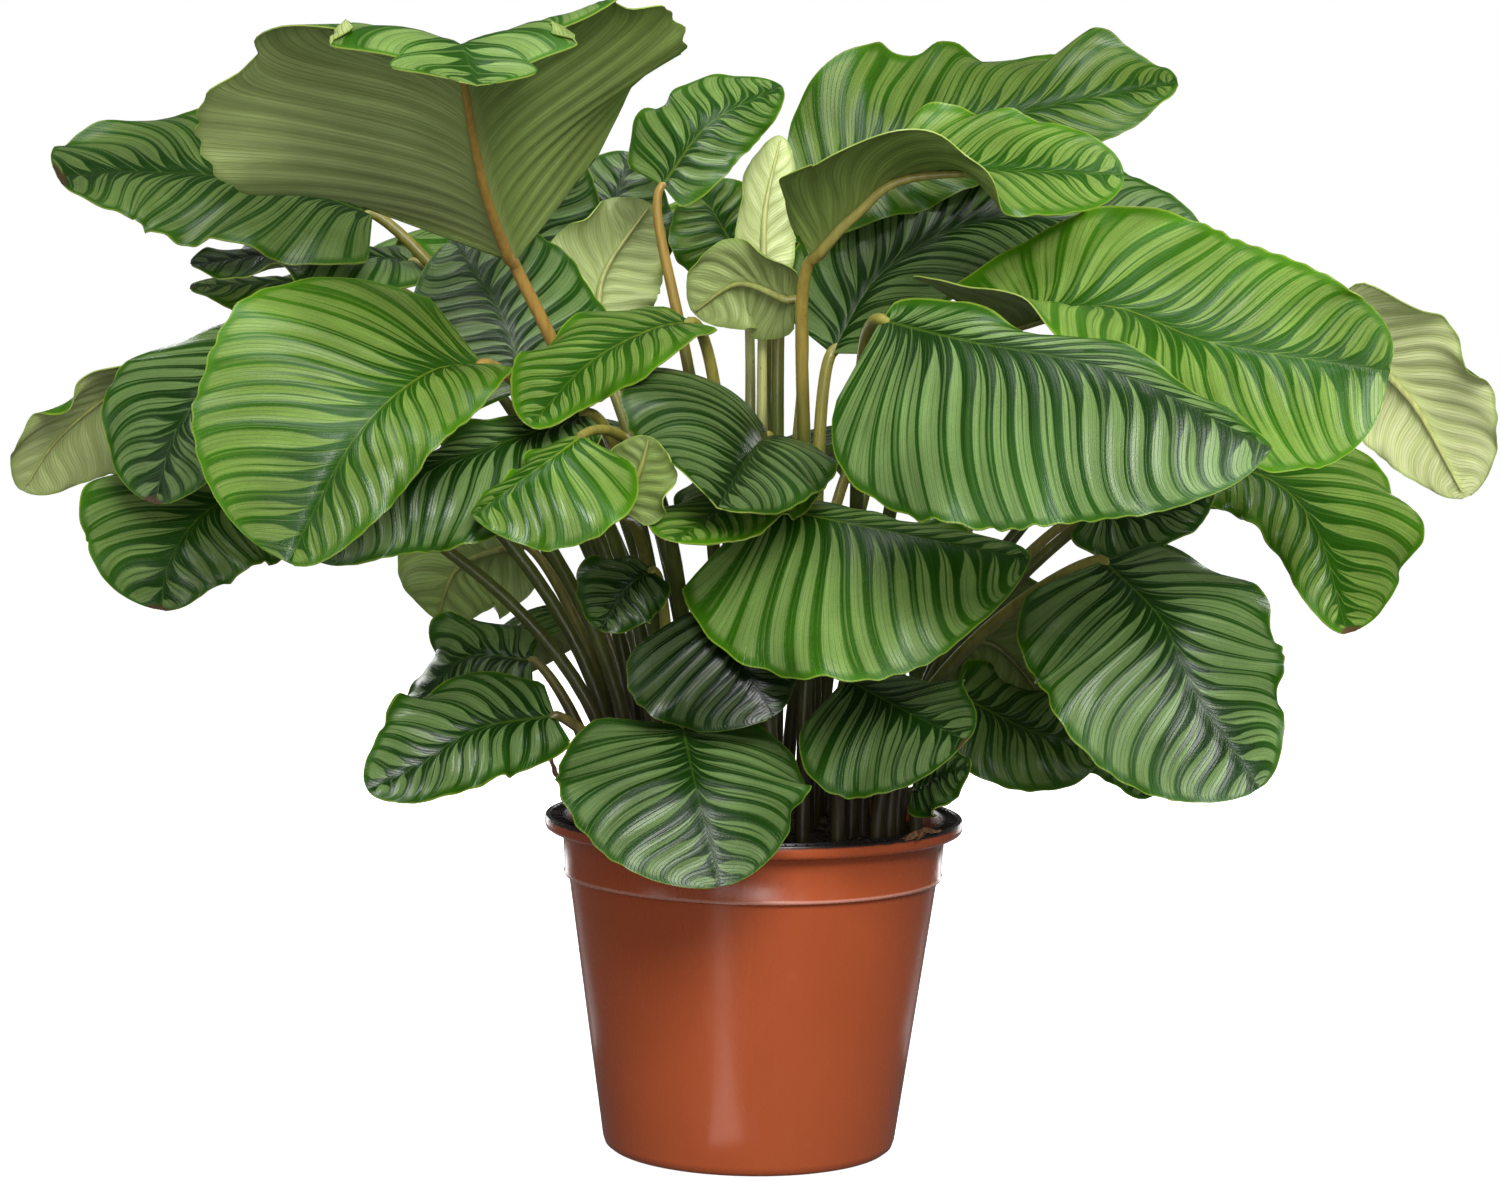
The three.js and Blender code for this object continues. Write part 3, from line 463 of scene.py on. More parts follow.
# %% The leaves
LEAVES = [
    dict(name="crown_left_front", tone="mid", root=[-48, -14],
         rib=[[-155, -70, 570], [-170, -125, 620], [-180, -190, 695], [-165, -255, 670]],
         halves=[150, 174], face=[0.15, 0.75, 0.65], left=[60, 18, 0], right=[28, 0, 46], wave=[5, 2.2],
         lobes=[-0.06, -0.16], taper=0.33),
    dict(name="far_left_upper", tone="mid", root=[-62, 16],
         rib=[[-255, 50, 600], [-320, 45, 620], [-405, 40, 625], [-455, 20, 620]], halves=[86, 92],
         face=[0.1, -0.4, 0.9], left=[5, 5, 30], right=[12, 8, 20], wave=[6, 2.6], taper=0.28),
    dict(name="left_under_upper", tone="deep", root=[-74, 30],
         rib=[[-230, 70, 570], [-300, 50, 575], [-370, 30, 565]], halves=[60, 60],
         face=[0.05, -0.25, 0.95], left=[5, 5, 30], right=[5, 5, 30], wave=[6, 2.2]),
    dict(name="left_yellow", tone="bright", root=[-72, 46],
         rib=[[-245, 125, 550], [-310, 130, 555], [-385, 125, 550]], halves=[45, 45],
         face=[0, -0.35, 0.95], left=[0, 0, 30], right=[0, 0, 30], wave=[5, 2.2]),
    dict(name="left_mid_lower", tone="deep", root=[-76, -12],
         rib=[[-270, -50, 525], [-320, -80, 505], [-355, -110, 470], [-370, -120, 420]], halves=[60, 80],
         face=[-0.15, -0.65, 0.7], left=[0, 0, 30], right=[0, 0, 20], wave=[5, 2.4]),
    dict(name="left_front", tone="bright", root=[-62, -32],
         rib=[[-165, -190, 510], [-195, -230, 505], [-230, -280, 470], [-265, -305, 400]],
         halves=[48, 112], face=[0.15, -0.7, 0.7], left=[40, 0, 30], right=[5, 5, 15], wave=[4, 2.6],
         lobes=[0, 0.2], lift=0.6, taper=0.36),
    dict(name="far_left_low", tone="mid", root=[-88, 6],
         rib=[[-335, 15, 515], [-400, 30, 495], [-455, 45, 455], [-485, 60, 415]], halves=[40, 56],
         face=[-0.1, 0.9, 0.45], left=[-60, -10, 20], right=[0, 0, 20], wave=[5, 2.2]),
    dict(name="left_low", tone="mid", root=[-86, -30],
         rib=[[-295, -60, 435], [-340, -95, 415], [-360, -120, 385], [-365, -125, 355]], halves=[55, 88],
         face=[-0.15, -0.7, 0.7], left=[-10, -10, 20], right=[0, 0, 25], wave=[4, 2.4]),
    dict(name="left_front_low", tone="deep", root=[-54, -54],
         rib=[[-105, -150, 480], [-165, -205, 460], [-220, -230, 440], [-260, -245, 400]], halves=[60, 24],
         face=[0.25, -0.9, 0.35], left=[50, -5, 20], right=[-30, -30, 40], wave=[4, 2.4], lobes=[-0.08, 0],
         lift=0.6),
    dict(name="center_fold_green", tone="bright", root=[-40, -74],
         rib=[[-105, -220, 470], [-125, -245, 455], [-165, -260, 425]], halves=[56, 30],
         face=[0.1, -0.75, 0.65], left=[0, 0, 25], right=[-40, -40, 20], wave=[3, 2], lobes=[0.18, 0.1],
         lift=0.9),
    dict(name="center_fold_pale", tone="mid", root=[-60, -72],
         rib=[[-80, -205, 425], [-70, -210, 450], [-65, -215, 470]], halves=[25, 26],
         face=[0.1, 0.9, -0.2], left=[0, 0, 20], right=[0, 0, 20], wave=[3, 2], lift=0.98),
    dict(name="center_left_upper", tone="bright", root=[-14, -20],
         rib=[[-45, -60, 535], [-70, -95, 530], [-105, -150, 510], [-135, -215, 475]], halves=[27, 44],
         face=[0.35, -0.45, 0.8], left=[20, -10, 10], right=[-10, 0, 30], wave=[3, 2.2], lift=0.7),
    dict(name="center_round", tone="deep", root=[8, -58],
         rib=[[5, -60, 465], [-5, -140, 460], [-25, -230, 430]], halves=[52, 92], face=[0, -0.25, 1],
         left=[0, -15, 30], right=[64, 50, 80], wave=[4, 2.6], lobes=[0, 0]),
    dict(name="center_under", tone="bright", root=[30, -80],
         rib=[[25, -90, 450], [-10, -150, 435], [-50, -230, 410]], halves=[36, 50],
         face=[0.05, -0.3, 0.95], left=[-5, -5, 20], right=[0, 0, 30], wave=[5, 2.6], lobes=[0, 0]),
    dict(name="center_front_low", tone="mid", root=[12, -98],
         rib=[[0, -115, 425], [70, -165, 415], [130, -185, 405], [160, -195, 400]], halves=[40, 106],
         face=[-0.15, -0.8, 0.6], left=[-30, -30, 30], right=[0, 0, 20], wave=[4, 2.6], lobes=[0.1, 0.22]),
    dict(name="right_front_low", tone="deep", root=[62, -28],
         rib=[[70, -190, 540], [115, -250, 530], [195, -310, 515], [280, -345, 475]], halves=[26, 112],
         face=[-0.45, -0.7, 0.55], left=[0, -35, 20], right=[0, 0, 20], wave=[3, 2.6], lift=0.75,
         lobes=[0.04, 0.03]),
    dict(name="right_front_top", tone="bright", root=[70, -10],
         rib=[[145, -120, 535], [205, -160, 550], [265, -190, 530], [365, -220, 515]], halves=[68, 112],
         face=[0.05, -0.6, 0.8], left=[14, 49, -10], right=[52, -40, -20], wave=[3, 2.4], lobes=[0.3, 0.1],
         lift=0.86, taper=0.27),
    dict(name="right_low_front", tone="deep", root=[78, -56],
         rib=[[210, -130, 395], [240, -185, 365], [260, -210, 320], [295, -225, 270]], halves=[72, 86],
         face=[0.05, -0.85, 0.55], left=[0, 0, 30], right=[0, 0, 30], wave=[3, 2.6]),
    dict(name="right_drape", tone="bright", root=[92, -14],
         rib=[[270, -40, 450], [315, -65, 445], [345, -85, 415], [365, -95, 350]], halves=[112, 36],
         face=[0.35, -0.65, 0.7], left=[0, 0, 20], right=[0, -20, 40], wave=[5, 2.2]),
    dict(name="far_right", tone="mid", root=[94, 4],
         rib=[[365, 50, 550], [400, 70, 520], [435, 80, 485], [470, 85, 425]], halves=[50, 63],
         face=[0.35, 0.8, 0.5], left=[0, 0, 20], right=[0, 0, 20], wave=[5, 2.2]),
    dict(name="top_right_back", tone="bright", root=[14, 52],
         rib=[[25, 65, 615], [80, 70, 650], [170, 85, 675], [270, 75, 695]], halves=[84, 60],
         face=[-0.15, -0.55, 0.8], left=[28, 5, 20], right=[0, 0, 30], wave=[8, 3.2], lift=0.7,
         lobes=[-0.04, 0.1]),
    dict(name="top_right_front", tone="bright", root=[34, -16],
         rib=[[30, -60, 575], [55, -80, 605], [95, -90, 630], [220, -90, 630]], halves=[74, 72],
         face=[-0.15, 0.15, 1], left=[80, 0, 0], right=[0, 0, 20], wave=[4, 2.2], twist=115, lift=0.7,
         lobes=[-0.05, -0.15]),
    dict(name="right_dark", tone="deep", root=[38, 10],
         rib=[[45, 20, 515], [80, 30, 570], [155, 40, 605], [285, 30, 590]], halves=[70, 100],
         face=[-0.1, -0.9, 0.4], left=[0, 0, 20], right=[50, 40, 10], wave=[4, 2.6], lobes=[0, 0]),
    dict(name="top_center", tone="mid", root=[-20, -2],
         rib=[[-65, -20, 620], [-35, -20, 660], [10, 10, 685]], halves=[60, 30], face=[-0.25, -0.75, 0.6],
         left=[0, 0, 30], right=[-40, -40, 0], wave=[3, 2], lift=0.7),
    dict(name="center_pale", tone="mid", root=[-32, 34],
         rib=[[-110, 70, 530], [-105, 80, 565], [-75, 90, 610]], halves=[40, 40], face=[-0.3, 0.95, -0.1],
         left=[0, 0, 20], right=[0, 0, 20], wave=[3, 2]),
    dict(name="center_dark_a", tone="deep", root=[-50, 64],
         rib=[[-165, 105, 525], [-155, 115, 585], [-135, 115, 650]], halves=[50, 50],
         face=[-0.15, -1, 0.1], left=[0, 0, 20], right=[0, 0, 20], wave=[3, 2]),
    dict(name="center_dark_b", tone="deep", root=[-38, 72],
         rib=[[-115, 120, 555], [-105, 130, 595], [-90, 140, 645]], halves=[48, 48], face=[0.1, -0.9, 0.3],
         left=[0, 0, 20], right=[0, 0, 20], wave=[3, 2]),
    dict(name="back_yellow", tone="bright", root=[-8, 58],
         rib=[[-15, 110, 575], [-30, 115, 600], [-45, 120, 625]], halves=[38, 38], face=[0, -0.9, 0.3],
         left=[0, 0, 20], right=[0, 0, 20], wave=[3, 2]),
    dict(name="back_pale", tone="mid", root=[2, 38], rib=[[0, 40, 555], [0, 45, 605], [10, 55, 655]],
         halves=[22, 22], face=[-0.2, 0.9, 0], left=[0, 0, 20], right=[0, 0, 20], wave=[2, 2]),
    dict(name="center_grey", tone="mid", root=[8, 12], rib=[[20, 0, 550], [-15, 15, 560], [-45, 25, 540]],
         halves=[32, 38], face=[0, 0.9, 0.4], left=[0, 0, 20], right=[0, 0, 20], wave=[3, 2]),
    dict(name="left_center_dark", tone="deep", root=[-45, 6],
         rib=[[-150, 10, 490], [-170, 20, 540], [-200, 30, 585]], halves=[70, 70], face=[0.2, -0.9, 0.3],
         left=[0, 0, 20], right=[0, 0, 20], wave=[4, 2]),
    dict(name="bottom_front", tone="deep", root=[-42, -99],
         rib=[[-45, -130, 290], [-35, -190, 260], [-20, -215, 205]], halves=[78, 82],
         face=[0.15, -0.85, 0.5], left=[0, 0, 30], right=[0, 0, 20], wave=[3, 2.6], lobes=[0.24, 0.24]),
    dict(name="bottom_right_front", tone="deep", root=[52, -92],
         rib=[[55, -125, 320], [90, -160, 305], [125, -185, 290]], halves=[50, 68],
         face=[-0.3, -0.7, 0.65], left=[-40, -20, 10], right=[0, 0, 20], wave=[3, 2.4]),
    dict(name="low_center_dark", tone="deep", root=[-6, -82],
         rib=[[-30, -120, 365], [-15, -145, 340], [10, -160, 300]], halves=[42, 68],
         face=[-0.05, -0.85, 0.5], left=[0, 0, 30], right=[0, 0, 25], wave=[3, 2.4], lobes=[0, 0]),
    dict(name="low_center_small", tone="deep", root=[-52, -88],
         rib=[[-65, -135, 385], [-80, -145, 375], [-95, -155, 350]], halves=[26, 32],
         face=[-0.2, -0.85, 0.5], left=[0, 0, 30], right=[0, 0, 30], wave=[3, 2]),
    dict(name="low_left_front", tone="deep", root=[-74, -60],
         rib=[[-125, -90, 290], [-170, -120, 285], [-205, -140, 265], [-235, -150, 250]], halves=[34, 48],
         face=[0.2, -0.8, 0.55], left=[0, 0, 20], right=[0, 0, 30], wave=[5, 2.4]),
    dict(name="low_left_back", tone="deep", root=[-100, -8],
         rib=[[-145, 0, 315], [-190, 0, 315], [-230, 10, 270]], halves=[55, 55], face=[-0.4, -0.55, 0.75],
         left=[0, 0, 30], right=[0, 0, 30], wave=[4, 2.2]),
    dict(name="left_inner_grey", tone="mid", root=[-88, 24],
         rib=[[-155, 50, 385], [-195, 50, 370], [-210, 50, 335]], halves=[46, 46], face=[0.2, 0.95, -0.25],
         left=[0, 0, 20], right=[0, 0, 20], wave=[4, 2.2]),
    dict(name="low_right_grey", tone="mid", root=[82, 42],
         rib=[[100, 60, 310], [155, 65, 325], [205, 60, 270]], halves=[50, 60], face=[0.15, 0.95, 0.25],
         left=[0, 0, 20], right=[0, 0, 20], wave=[4, 2.2]),
    dict(name="low_right_green", tone="mid", root=[92, 22],
         rib=[[130, 25, 295], [185, 20, 270], [230, 15, 265]], halves=[44, 44], face=[0.1, -0.8, 0.55],
         left=[0, 0, 30], right=[0, 0, 30], wave=[4, 2.2]),
    dict(name="low_right_dark", tone="deep", root=[68, 58],
         rib=[[215, 90, 290], [250, 90, 255], [265, 85, 220]], halves=[36, 36], face=[0.3, -0.8, 0.5],
         left=[0, 0, 30], right=[0, 0, 30], wave=[3, 2]),
    dict(name="right_mid_dark", tone="deep", root=[86, -32],
         rib=[[205, -60, 420], [240, -85, 420], [280, -100, 435]], halves=[36, 32],
         face=[-0.4, -0.55, 0.75], left=[0, 0, 30], right=[0, 0, 30], wave=[3, 2]),
    dict(name="rim_right_small", tone="deep", root=[104, -34],
         rib=[[100, -40, 240], [120, -65, 255], [135, -75, 260]], halves=[25, 25], face=[0.1, -0.8, 0.6],
         left=[0, 0, 30], right=[0, 0, 30], wave=[3, 2]),
    dict(name="back_high_left", tone="mid", root=[-40, 86],
         rib=[[-130, 175, 575], [-195, 245, 600], [-245, 310, 555]], halves=[95, 95],
         face=[-0.4, 0.5, 0.75], left=[0, 0, 30], right=[0, 0, 30], wave=[6, 2.6]),
    dict(name="back_high_mid", tone="bright", root=[5, 78],
         rib=[[5, 170, 590], [15, 260, 620], [25, 340, 570]], halves=[100, 100], face=[0.1, 0.6, 0.75],
         left=[5, 5, 30], right=[0, 0, 30], wave=[6, 2.6]),
    dict(name="back_high_right", tone="deep", root=[42, 64],
         rib=[[130, 160, 570], [205, 235, 600], [260, 300, 550]], halves=[95, 95], face=[0.4, 0.5, 0.75],
         left=[0, 0, 30], right=[0, 0, 30], wave=[6, 2.6]),
    dict(name="back_mid_far_left", tone="deep", root=[-90, 50],
         rib=[[-210, 130, 460], [-300, 180, 475], [-370, 215, 425]], halves=[80, 80],
         face=[-0.5, 0.4, 0.75], left=[0, 0, 30], right=[0, 0, 30], wave=[5, 2.4]),
    dict(name="back_mid_left", tone="mid", root=[-64, 84],
         rib=[[-100, 190, 450], [-150, 275, 460], [-180, 340, 400]], halves=[90, 90],
         face=[-0.3, 0.6, 0.75], left=[0, 0, 30], right=[0, 0, 30], wave=[5, 2.4]),
    dict(name="back_mid_right", tone="deep", root=[22, 94],
         rib=[[70, 190, 450], [105, 280, 460], [125, 345, 400]], halves=[90, 90], face=[0.2, 0.6, 0.75],
         left=[0, 0, 30], right=[0, 0, 30], wave=[5, 2.4]),
    dict(name="back_mid_far_right", tone="mid", root=[64, 74],
         rib=[[200, 140, 450], [285, 195, 460], [350, 235, 405]], halves=[85, 85], face=[0.5, 0.5, 0.75],
         left=[0, 0, 30], right=[0, 0, 30], wave=[5, 2.4]),
    dict(name="back_low_left", tone="mid", root=[-78, 70],
         rib=[[-110, 140, 330], [-150, 200, 330], [-175, 240, 275]], halves=[62, 62],
         face=[-0.5, 0.5, 0.7], left=[0, 0, 30], right=[0, 0, 30], wave=[4, 2.2]),
    dict(name="back_low_mid", tone="deep", root=[-18, 96],
         rib=[[-30, 150, 320], [-45, 225, 315], [-50, 280, 260]], halves=[68, 68], face=[-0.1, 0.6, 0.8],
         left=[0, 0, 30], right=[0, 0, 30], wave=[4, 2.2]),
    dict(name="back_low_right", tone="mid", root=[50, 90],
         rib=[[100, 150, 320], [150, 215, 315], [175, 260, 265]], halves=[62, 62], face=[0.4, 0.6, 0.7],
         left=[0, 0, 30], right=[0, 0, 30], wave=[4, 2.2]),
]
TABLE_NAMES = [leaf["name"] for leaf in LEAVES]
print(len(LEAVES), "leaves, all in the packed plant:", set(TABLE_NAMES) <= set(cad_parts))

# %% [markdown]
# ## From a row to a blade
# A midrib is a smooth curve through its points, and a frame travels along it: forward, up and to the side.
# Any place on the blade is then found from two numbers, its share of the way from base to tip and its share
# of the way out to the left or right edge. Sculpting fifty blades by hand would be the other way, but a
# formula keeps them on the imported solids.

# %% The midrib and its frames
STATIONS = 48
RIB_SAMPLES = 201


def curve_through(points, t):
    """Points and directions of the smooth curve through the given points, at shares t of its parameter."""
    padded = np.vstack([2 * points[0] - points[1], points, 2 * points[-1] - points[-2]])
    place = np.clip(t, 0, 1) * (len(points) - 1)
    low = np.minimum(place.astype(int), len(points) - 2)
    w = (place - low)[:, None]
    before, start, end, after = (padded[low + k] for k in range(4))
    leave, arrive = (end - before) / 2, (after - start) / 2
    square, cube = -3 * start + 3 * end - 2 * leave - arrive, 2 * start - 2 * end + leave + arrive
    return start + w * (leave + w * (square + w * cube)), leave + w * (2 * square + 3 * w * cube)


def unit(vectors):
    return vectors / np.linalg.norm(vectors, axis=-1, keepdims=True)


def square_to(direction, vector):
    """The vector, turned until it is square to the direction."""
    return unit(vector - direction * (vector @ direction))


def midrib(leaf):
    """The rib's point, direction and upper side at even stations, and its length."""
    points = np.array(leaf["rib"], float) * MM
    fine = np.linspace(0, 1, RIB_SAMPLES)
    steps = np.linalg.norm(np.diff(curve_through(points, fine)[0], axis=0), axis=1)
    run = np.concatenate([[0], np.cumsum(steps)])
    place, along = curve_through(points, np.interp(np.linspace(0, run[-1], STATIONS + 1), run, fine))
    along = unit(along)
    up = np.zeros_like(along)
    middle = STATIONS // 2
    up[middle] = square_to(along[middle], np.array(leaf["face"], float))
    for i in range(middle + 1, STATIONS + 1):
        up[i] = square_to(along[i], up[i - 1])
    for i in range(middle - 1, -1, -1):
        up[i] = square_to(along[i], up[i + 1])
    return {"place": place, "along": along, "up": up, "length": run[-1]}


def frames_at(rib, leaf, s):
    """The rib's point, direction, upper side and right side at the shares s of its length."""
    low = np.minimum((s * STATIONS).astype(int), STATIONS - 1)
    share = (s * STATIONS - low)[:, None]
    place, along, up = (rib[part][low] * (1 - share) + rib[part][low + 1] * share
                        for part in ("place", "along", "up"))
    along, up = unit(along), unit(up)
    turn = np.radians(leaf.get("twist", 0)) * (s - 0.5)[:, None]
    up = up * np.cos(turn) + np.cross(along, up) * np.sin(turn)
    return place, along, up, np.cross(along, up)


print("a rib of", round(midrib(LEAVES[0])["length"] / MM), "mm for", LEAVES[0]["name"])

# %% Places on a blade
TAPER = 0.43
TIP_HALF_WIDTH = 1.2 * MM
LOBES = [0.1, 0.1]
LOBE_START = 0.05
PHASE_STEP, RIGHT_PHASE = 2.4, 1.7


def outline(leaf, s):
    """The blade's half width at s, as a share of its widest."""
    bow = np.sin(np.pi * np.minimum(s, 0.999) ** 0.74)
    return bow ** leaf.get("taper", TAPER) * (1 - 0.2 * s ** 8)


def half_width(leaf, s, u):
    """The widest half width on the side of u, and the half width at s."""
    half = np.where(u < 0, leaf["halves"][0], leaf["halves"][1]) * MM
    return half, np.maximum(TIP_HALF_WIDTH, half * outline(leaf, s))


def blade_places(rib, leaf, s, u):
    """Points of the blade's middle surface, for arrays of s and of u, which is -1 left and 1 right."""
    place, along, up, side = frames_at(rib, leaf, s)
    sides = np.where(u[:, None] < 0, np.array(leaf["left"], float), np.array(leaf["right"], float))
    hand = np.where(u < 0, -1, 1)
    fold = np.radians(sides[:, 0] + (sides[:, 1] - sides[:, 0]) * s)
    half, width = half_width(leaf, s, u)
    out = np.abs(u) * width
    bend = np.radians(np.where(sides[:, 2] == 0, 1, sides[:, 2])) / half
    angle = fold - bend * out
    sideways = (np.sin(fold) - np.sin(angle)) / bend
    rise = (np.cos(angle) - np.cos(fold)) / bend
    height, count = leaf["wave"]
    phase = leaf["phase"] + np.where(u < 0, 0, RIGHT_PHASE)
    ripple = height * MM * u * u * np.sin(np.pi * s) * np.sin(2 * np.pi * count * s + phase)
    neck = np.clip(s / LOBE_START, 0, 1) ** 0.6
    left_lobe, right_lobe = leaf.get("lobes", LOBES)
    lobe = np.where(u < 0, left_lobe, right_lobe) * rib["length"] * u * u * (1 - s) ** 3 * neck
    return (place + side * (hand * (sideways - ripple * np.sin(angle)))[:, None]
            + up * (rise + ripple * np.cos(angle))[:, None] - along * lobe[:, None])


for number, leaf in enumerate(LEAVES):
    leaf["phase"] = number * PHASE_STEP
print("the tip of", LEAVES[0]["name"], "is at",
      blade_places(midrib(LEAVES[0]), LEAVES[0], np.array([1.0]), np.array([0.0])).round(3)[0])

# %% [markdown]
# ## Grids and their numbers
# Every blade, stalk and strip starts as the plain grid that Blender adds, because a grid brings its own UV
# map. The points could be dragged one by one, but here they are read as one array, worked out and put back.
# What a finish has to know about a point, such as its distance from the edge, is stored on the mesh as an
# attribute.

# %% Helpers for meshes
def places_of(mesh):
    numbers = np.empty(len(mesh.vertices) * 3, np.float32)
    mesh.vertices.foreach_get("co", numbers)
    return numbers.reshape(-1, 3).astype(float)


def normals_of(mesh):
    numbers = np.empty(len(mesh.vertices) * 3, np.float32)
    mesh.vertex_normals.foreach_get("vector", numbers)
    return numbers.reshape(-1, 3)


def move_to(mesh, places):
    mesh.vertices.foreach_set("co", places.astype(np.float32).ravel())
    mesh.update()


def add_grid(name, length_steps, width_steps):
    """A flat grid, one unit along X and Y, and the places of its points."""
    bpy.ops.object.select_all(action="DESELECT")
    bpy.ops.mesh.primitive_grid_add(x_subdivisions=length_steps, y_subdivisions=width_steps, size=1)
    piece = bpy.context.object
    piece.name = name
    return piece, places_of(piece.data)


def set_numbers(mesh, name, numbers):
    """Stores one number for each point, or the same number for all, as an attribute."""
    spread = np.full(len(mesh.vertices), numbers, np.float32)
    mesh.attributes.new(name, "FLOAT", "POINT").data.foreach_set("value", spread)


def soft_noise(places, scale, seed):
    return np.array([noise.noise(Vector(place) * scale + Vector((seed, 0, 0))) for place in places])


def thicken(piece, thickness, offset=-1.0, under=0, rim=0):
    """Gives a sheet its thickness, and the next finishes in its list to its underside and its cut edge."""
    thick = piece.modifiers.new("thickness", "SOLIDIFY")
    thick.thickness = thickness
    thick.offset = offset
    thick.material_offset = under
    thick.material_offset_rim = rim
    bpy.ops.object.modifier_apply(modifier=thick.name)


print("grids can be added and laid")

# %% [markdown]
# ## Veins
# The side veins of a blade leave the midrib at a sharp angle, run outwards and sweep towards the tip. If
# the rows of the mesh follow them, both the pleats and the bands come out crisp with few faces. So a plain
# grid is added, its rows are laid along the veins, and its UV map runs along them and across.

# %% The course of a vein
def vein_start(t):
    return t ** 1.3


def along_vein(start, out):
    """How far towards the tip a vein has come at the share out of its way, if it leaves the rib at start."""
    end = 1 - (1 - start ** 0.7) ** 1.5
    sweep = 0.3 * (1 - (1 - out) ** 8) + 0.7 * out ** 1.7
    return start + (end - start) * sweep


print("a vein from the middle of the rib ends at", round(float(along_vein(0.5, 1.0)), 2), "of the blade")

# %% [markdown]
# ## How single leaves differ
# Leaves of one plant aren't alike. Some undersides are paler because the light comes from behind, some
# uppers are darker because they are older or hang in the shade, some edges are more ruffled, and a few tips
# are brown. These numbers could be columns of the leaf table, but most leaves have none of them.

# %% The looks of single leaves
# How young the leaves of each tone look, where 1 is the brightest green.
YOUTH = {"bright": 1.0, "mid": 0.45, "deep": 0.0}
# How pale a leaf's underside and stalk are: painted light, mostly light that comes through from behind.
PALE = {"crown_left_front": 0.25, "far_right": 1.0, "far_left_low": 0.35, "back_pale": 0.6,
        "back_yellow": 0.5, "center_pale": 0.3, "center_grey": 0.2}
# How light a leaf's upper side is: partly its age, and partly painted shade for leaves that hang in the
# shade and painted light for the few that hang in the light.
USUAL_TONE = 0.9
TONE_AGE_AND_SHADE = {"left_front": 0.77, "right_front_top": 1.0, "right_drape": 1.05, "far_left_upper": 0.54,
        "top_right_back": 0.64, "center_front_low": 1.05, "center_round": 0.56, "low_center_dark": 0.25,
        "low_center_small": 0.45, "bottom_right_front": 0.62, "bottom_front": 0.70, "left_low": 0.75,
        "top_center": 0.85, "left_mid_lower": 0.75, "left_front_low": 0.85, "right_dark": 0.75,
        "left_center_dark": 0.7, "center_dark_a": 0.7, "center_dark_b": 0.7}
# How richly a leaf's edge is ruffled, where its wave in the table doesn't say it.
RUFFLED = {"crown_left_front": 0.45, "bottom_front": 0.6, "bottom_right_front": 0.6, "top_right_back": 2.0,
           "left_front": 0.7}
BROWN_TIPS = {"right_drape", "far_left_upper", "left_yellow", "left_low", "bottom_right_front",
              "left_mid_lower"}
# The tall leaf at the top left narrows to a frill near its tip, and its left half lies in shade, so it gets
# none of the painted light that paints the rest of its underside pale.
FRILLED_END = SHADED_HALF = "crown_left_front"
# How golden a stalk turns towards its blade.
USUAL_GOLD = 0.2
GOLDEN = {"crown_left_front": 1.0, "top_right_front": 0.5, "top_center": 0.8, "left_front": 0.8}
print(len(TONE_AGE_AND_SHADE), "leaves have a tone of their own")

# %% [markdown]
# ## Modelling a blade
# A blade is a sheet less than a millimetre thick. It is pleated along its veins, sunk along its midrib, and
# longer round its edge than it can lie flat, so the edge waves. A wave texture could displace it, but the
# waves have to follow the bands, and those are counted on the grid itself.

# %% The edge of a blade
BLADE_THICKNESS = 0.8 * MM
LONG_BLADE, WIDE_BLADE = 240 * MM, 180 * MM
BAND_SPACING = 19 * MM
PLEAT, SHALLOW_PLEAT, STEEP_FOLD = 0.8 * MM, 0.4 * MM, -20
GUTTER_DEPTH, GUTTER_WIDTH = 0.8 * MM, 1.8 * MM
FRILL_HEIGHT, SWAY_HEIGHT, SWELL_HEIGHT = 14 * MM, 18 * MM, 4 * MM


def along_bands(band, left, pace, seed):
    """Soft noise that runs along the edge at the bands' pace, with its own course on either half."""
    return soft_noise(np.stack([band * pace, np.where(left, 0.0, 40.0), band * 0], -1), 1.0, seed)


def drawn_in(leaf, s, out, band, frill):
    """By how much of its half width the blade is drawn in: small notches, and the frilled end of one leaf."""
    depth = 0.010 * (1 + np.cos(2 * np.pi * band)) + 0.045 * np.abs(frill)
    notch = out ** 7 * depth * np.sin(np.pi * s) ** 0.5
    if leaf["name"] != FRILLED_END:
        return notch
    ends = np.clip((s - 0.50) / 0.38, 0, 1)
    scallop = 0.42 + 0.12 * np.cos(2 * np.pi * 0.36 * band)
    return notch + scallop * ends * ends * (3 - 2 * ends)


print("frills are up to", round(FRILL_HEIGHT / MM), "mm high")

# %% Modelling a blade
def store_looks(leaf, mesh, left, out, width, band):
    """Stores what the finishes of a blade read at each of its points."""
    name = leaf["name"]
    set_numbers(mesh, "band", band)
    set_numbers(mesh, "from_rib", out * width / MM)
    set_numbers(mesh, "from_edge", (1 - out) * width / MM)
    set_numbers(mesh, "youth", leaf.get("youth", YOUTH[leaf["tone"]]))
    set_numbers(mesh, "pale", PALE.get(name, 0.0) * np.where((name == SHADED_HALF) & left, 0.0, 1.0))
    set_numbers(mesh, "luck", (leaf["phase"] * 0.618) % 1)
    set_numbers(mesh, "dry", float(name in BROWN_TIPS))
    set_numbers(mesh, "tone", TONE_AGE_AND_SHADE.get(name, USUAL_TONE))


